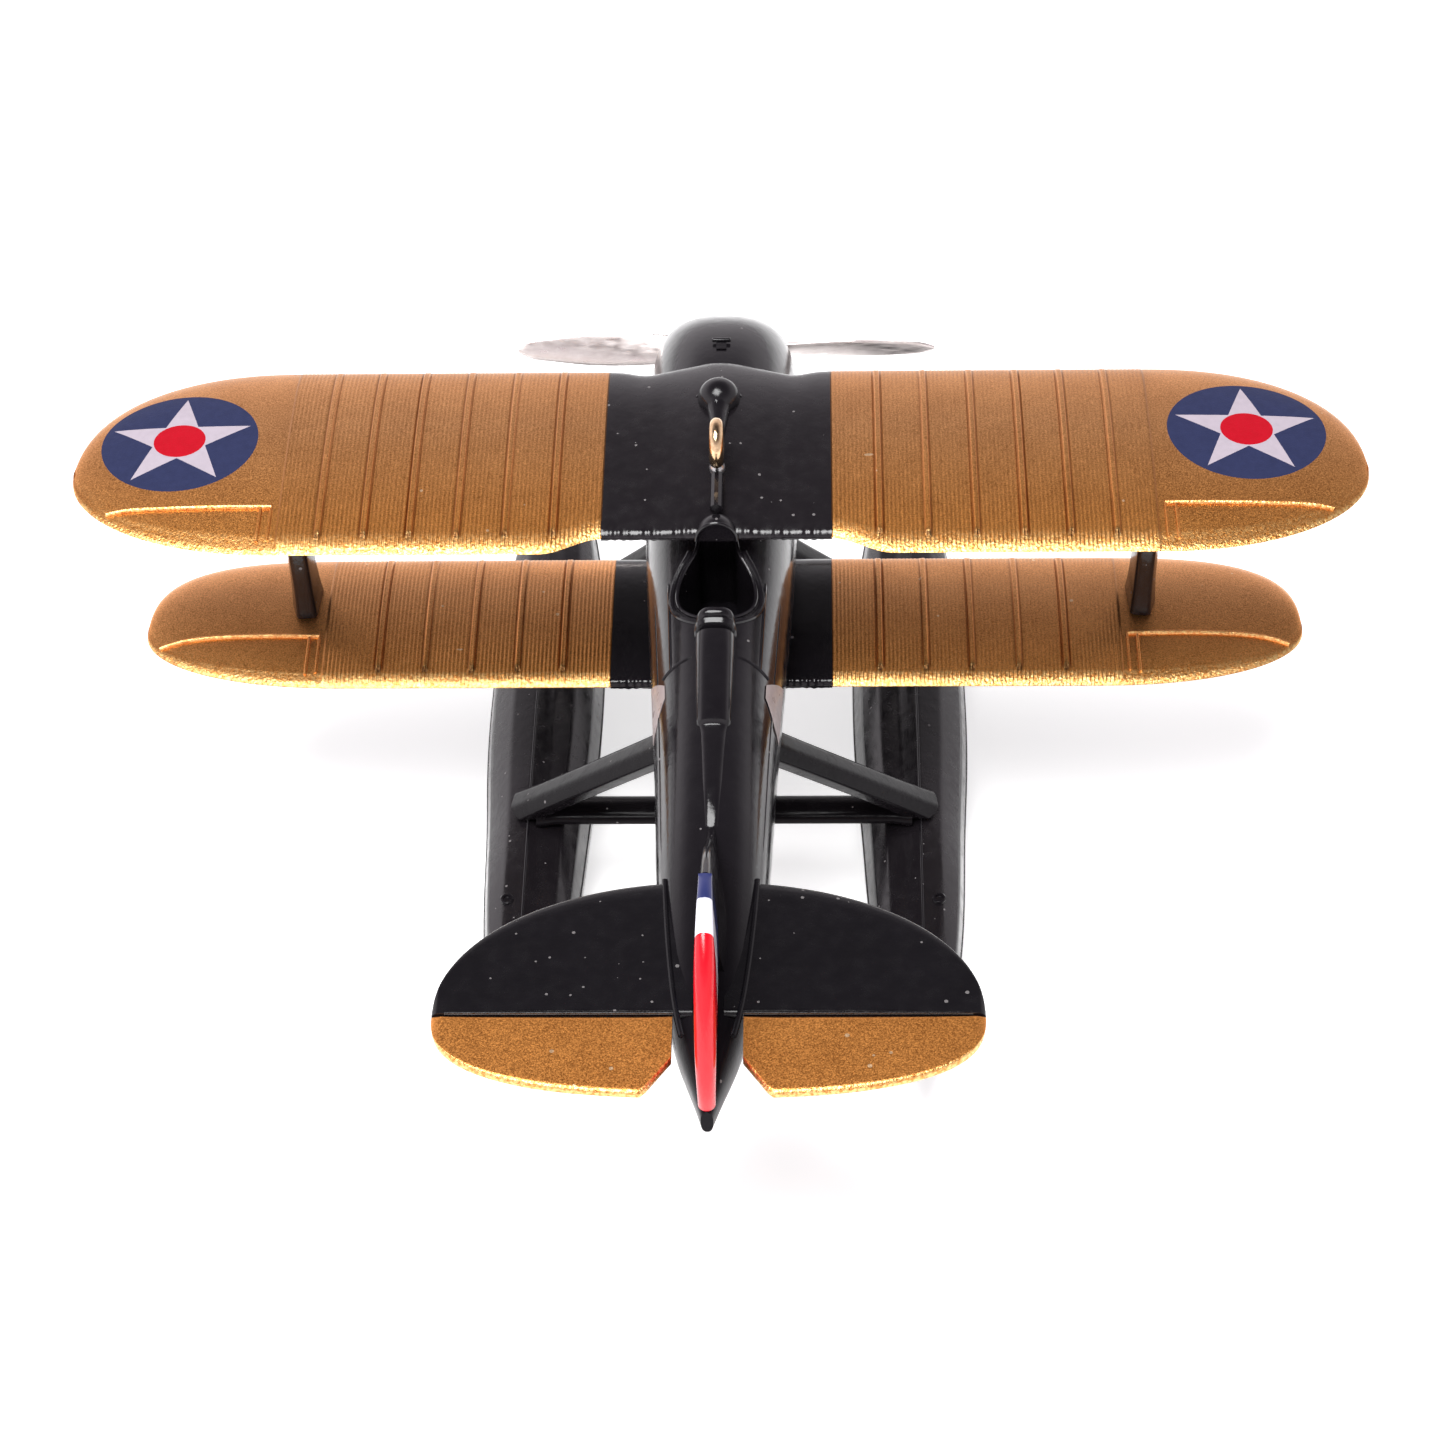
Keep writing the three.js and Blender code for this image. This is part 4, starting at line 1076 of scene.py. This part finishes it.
def fin():
    """A thin fin that flares into the body at its foot."""
    start, end = FIN_EDGE[0][0], FIN_EDGE[-1][0]
    rings = []
    for y, high in along_path(FIN_EDGE, 40):
        gone = (y - start) / (end - start)
        half = 0.38 + 0.20 * ease(gone * 1.2)
        foot = float(body_spine(y)) - 1.6
        flare = 2.2 * (1 - gone) + 1.6
        ring = []
        for a in np.linspace(0, math.pi, 29):
            low = 1 - math.sin(a) ** 0.5
            wide = half * (1 + flare * low ** 3)
            ring.append((wide * np.sign(math.cos(a)) * abs(math.cos(a)) ** 0.45, y,
                         foot + (high - foot) * math.sin(a) ** 0.62))
        rings.append(ring)
    fitted(through_rings("tail_fin", rings, 60), black_lacquer, "fin")


def rudder():
    """Slices from the hinge line out to the round edge, thicker towards their rounded noses."""
    path = along_path(RUDDER_EDGE, 90)
    rings = []
    for part, (y, z) in zip(np.linspace(0, 1, len(path)), path):
        front = np.array([-40.75, 48.25 - part * 12.6])
        way = np.array([y, z]) - front
        far = max(np.linalg.norm(way), 1e-3)
        way = way / far
        half = 0.52 + 0.30 * ease(part / 0.5) - 0.14 * ease((part - 0.7) / 0.3)
        nose = min(half * 1.05, far * 0.9)
        ring = [(half * 0.98, *front)]
        for a in np.linspace(-math.pi / 2, math.pi / 2, 21)[::-1]:
            ring.append((half * math.sin(a), *(front + way * (far - nose + nose * math.cos(a)))))
        ring.append((-half * 0.98, *front))
        rings.append(ring)
    fitted(through_rings("rudder_blade", rings, 60), striped_paint, "rudder")
    point = ((0, 0.02), (0.15, 0.2), (0.9, 0.52), (2.4, 0.95), (3.4, 1.0))
    fitted(turned("stern_post", point, (0, -51.9, 33.9), 40), black_lacquer)


# ---------------------------------------------------------------- floats and struts

def rounded_ring(points, radius, steps=4):
    """Each corner of a closed outline is rounded."""
    points = [np.array(p, float) for p in points]
    ring = []
    for i, corner in enumerate(points):
        before, after = points[i - 1] - corner, points[(i + 1) % len(points)] - corner
        a = corner + before * min(0.42, radius / max(np.linalg.norm(before), 1e-6))
        b = corner + after * min(0.42, radius / max(np.linalg.norm(after), 1e-6))
        for t in np.linspace(0, 1, steps):
            ring.append((1 - t) ** 2 * a + 2 * t * (1 - t) * corner + t * t * b)
    return ring


float_half, float_keel = smooth_line(FLOAT_AT, FLOAT_HALF), smooth_line(FLOAT_AT, FLOAT_KEEL)
float_deck = smooth_line(FLOAT_AT, FLOAT_DECK)


def float_section(y):
    """Half width, keel and deck heights, and the height of the widest line."""
    half, keel, deck = float(float_half(y)), max(float(float_keel(y)), 0), float(float_deck(y))
    return half, keel, deck, keel + 0.52 * (deck - keel)


def float_ring(y):
    half, keel, deck, wide = float_section(y)
    flat, rise = min(0.6, half * 0.5), deck - keel
    chine = keel + 0.42 * (FLOAT_CHINE - keel) + 0.02
    corners = ((flat, keel), (0.96 * half, chine), (half, wide), (0.90 * half, deck - 0.22 * rise),
               (0.52 * half, deck - 0.06 * rise), (0.1 * half, deck), (-0.22 * half, deck - 0.07 * rise),
               (-0.56 * half, deck - 0.10 * rise), (-0.86 * half, deck - 0.24 * rise), (-half, wide),
               (-0.96 * half, chine), (-flat, keel))
    ring = rounded_ring([(FLOAT_OUT + x, z) for x, z in corners], min(0.30, 0.12 * half + 0.02))
    return [(x, y, z) for x, z in ring]


def floats():
    stations_along = (np.linspace(-25.5, -24, 8), np.linspace(-23.4, 50, 100), np.linspace(50.3, 52.7, 12))
    hull = through_rings("float_starboard", [float_ring(y) for y in np.concatenate(stations_along)], 32)
    crease = [(FLOAT_OUT + 0.1 * float(float_half(y)), y, float(float_deck(y)) - 0.06)
              for y in np.linspace(-24.6, 51.5, 90)]
    ridge = bead("float_ridge_starboard", crease, 0.13)
    plug_profile = ((0, 0.62), (0.28, 0.62), (0.36, 0.52), (0.36, 0.34), (0.18, 0.28), (0.18, 0.05))
    plug = turned_up("float_filler_starboard", plug_profile, (19.4, -8.2, 9.28))
    seam = []
    for y in np.linspace(-24.8, 51.6, 90):
        half, _, _, wide = float_section(y)
        seam.append((FLOAT_OUT + half - 0.15, y, wide))
    strip = bead("float_rub_strip_starboard", seam, 0.22)
    inner = bead("float_inner_strip_starboard", [(2 * FLOAT_OUT - x, y, z) for x, y, z in seam], 0.22)
    both_sides(hull, "float_", dusty_black, "float_hull_", "float_deck_")
    both_sides(ridge, "float_ridge_", black_lacquer)
    both_sides(plug, "float_filler_", black_lacquer, "float_plug_")
    both_sides(strip, "float_rub_strip_", black_lacquer)
    both_sides(inner, "float_inner_strip_", black_lacquer)


# in shares of the half width and half chord
STRUT_CORNERS = ((0.1, 1), (0.8, 0.75), (1, -0.25), (0.5, -1), (-0.8, -0.95), (-1, 0.4))


def strut(name, foot, head, chords, half, flare, count=34):
    """A creased strut of level six-cornered sections from foot to head, spreading at both ends."""
    rings = []
    for t in np.linspace(0, 1, count):
        x, y, z = (f + (h - f) * t for f, h in zip(foot, head))
        spread = abs(2 * t - 1) ** 4
        chord = (chords[0] + (chords[1] - chords[0]) * t + flare[1] * spread) / 2
        thick = half + flare[0] * spread
        ring = rounded_ring([(thick * a, chord * b) for a, b in STRUT_CORNERS], 0.45, 6)
        rings.append([(x + a, y + b, z) for a, b in ring])
    return through_rings(name, rings, 45)


def bar(name, y, z):
    """A spreader bar from float to float."""
    rings = []
    for x in np.linspace(-17.2, 17.2, 60):
        swell = 1 + 0.18 * ease((abs(x) - 15.4) / 1.7)
        rings.append([(x, y + 1.6 * swell * math.cos(a), z + 0.85 * swell * math.sin(a))
                      for a in round_turn(36)])
    return through_rings(name, rings, 45)


def struts():
    for stem, node, (foot, head), chords, half, flare, coat in (
            ("rear_leg_", "float_strut_rear_", REAR_STRUT, (3.6, 3.8), 1.7, (0.1, 0.4), strut_black),
            ("front_leg_", "float_strut_front_", FRONT_STRUT, (3.7, 3.9), 0.9, (0.25, 0.4), strut_black),
            ("wing_post_", "interplane_strut_", WING_STRUT, (4.6, 4.6), 1.15, (0.2, 1.4), black_lacquer)):
        both_sides(strut(stem + "starboard", foot, head, chords, half, flare), stem, coat, node)
    for label, (foot, _) in (("rear", REAR_STRUT), ("front", FRONT_STRUT)):
        fitted(bar("bar_" + label, foot[1] - 0.5, 10.1), strut_black, "spreader_bar_" + label)


# ---------------------------------------------------------------- propeller

def propeller():
    reach = along_path(np.stack([BLADE_AT], 1), 46)[:, 0]
    chord, depth = smooth_line(BLADE_AT, BLADE_CHORD), smooth_line(BLADE_AT, BLADE_DEPTH)
    pitch = smooth_line(BLADE_AT, BLADE_PITCH)
    rings = []
    for x in reach:
        turn = math.radians(float(pitch(x)))
        ring = []
        for a in round_turn(32):
            wide, deep = float(chord(x)) / 2 * math.cos(a), float(depth(x)) / 2 * math.sin(a)
            deep *= 1 - 0.35 * math.cos(a)
            ring.append((x, PROP_AT + wide * math.sin(turn) + deep * math.cos(turn),
                         THRUST - wide * math.cos(turn) + deep * math.sin(turn)))
        rings.append(ring)
    blade = through_rings("blade_starboard", rings, 45)
    axle = Matrix.Translation((0, 0, THRUST * MM))
    other = own_copy(blade, "blade_port", axle @ Matrix.Rotation(math.pi, 4, "Y") @ axle.inverted())
    hub = turned("propeller_hub", ((-0.6, 0.98), (-0.6, 1.9), (-0.45, 2.08), (0.4, 2.1), (0.58, 1.95),
                                   (0.62, 0.98), (-0.6, 0.98)), (0, PROP_AT, THRUST))
    nose = [(0.0, 1.99), (0.12, 2.0)] + [(0.12 + 2.38 * math.sin(a), 2.0 * math.cos(a))
                                         for a in np.linspace(0.1, math.pi / 2 - 0.03, 18)]
    spinner = turned("spinner_cone", nose, (0, 43.06, THRUST))
    shaft = turned("drive_shaft", ((36.0, 0.75), (36.15, 0.9), (42.9, 0.9), (43.0, 0.8)), (0, 0, THRUST))
    collar = turned("drive_collar", ((36.5, 0.92), (36.5, 1.75), (36.65, 1.9), (37.55, 1.9), (37.7, 1.75),
                                     (37.7, 0.92), (36.5, 0.92)), (0, 0, THRUST))
    for piece, coat, nodes in ((blade, silver_paint, ("propeller",)), (other, silver_paint, ()),
                               (hub, silver_paint, ()), (spinner, silver_paint, ("spinner",)),
                               (shaft, steel, ("propeller_shaft",)), (collar, steel, ("shaft_collar",))):
        fitted(piece, coat, *nodes, body="propeller")


wing_panels()
middle_wings()
fuselage()
cowl()
cockpit()
headrest()
side_patches()
tank()
hanging_ring()
windscreen()
tailplane()
fin()
rudder()
floats()
struts()
propeller()

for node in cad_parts.values():
    node.data.materials.clear()
    node.data.materials.append(steel if "joiner" in node.name else black_lacquer)
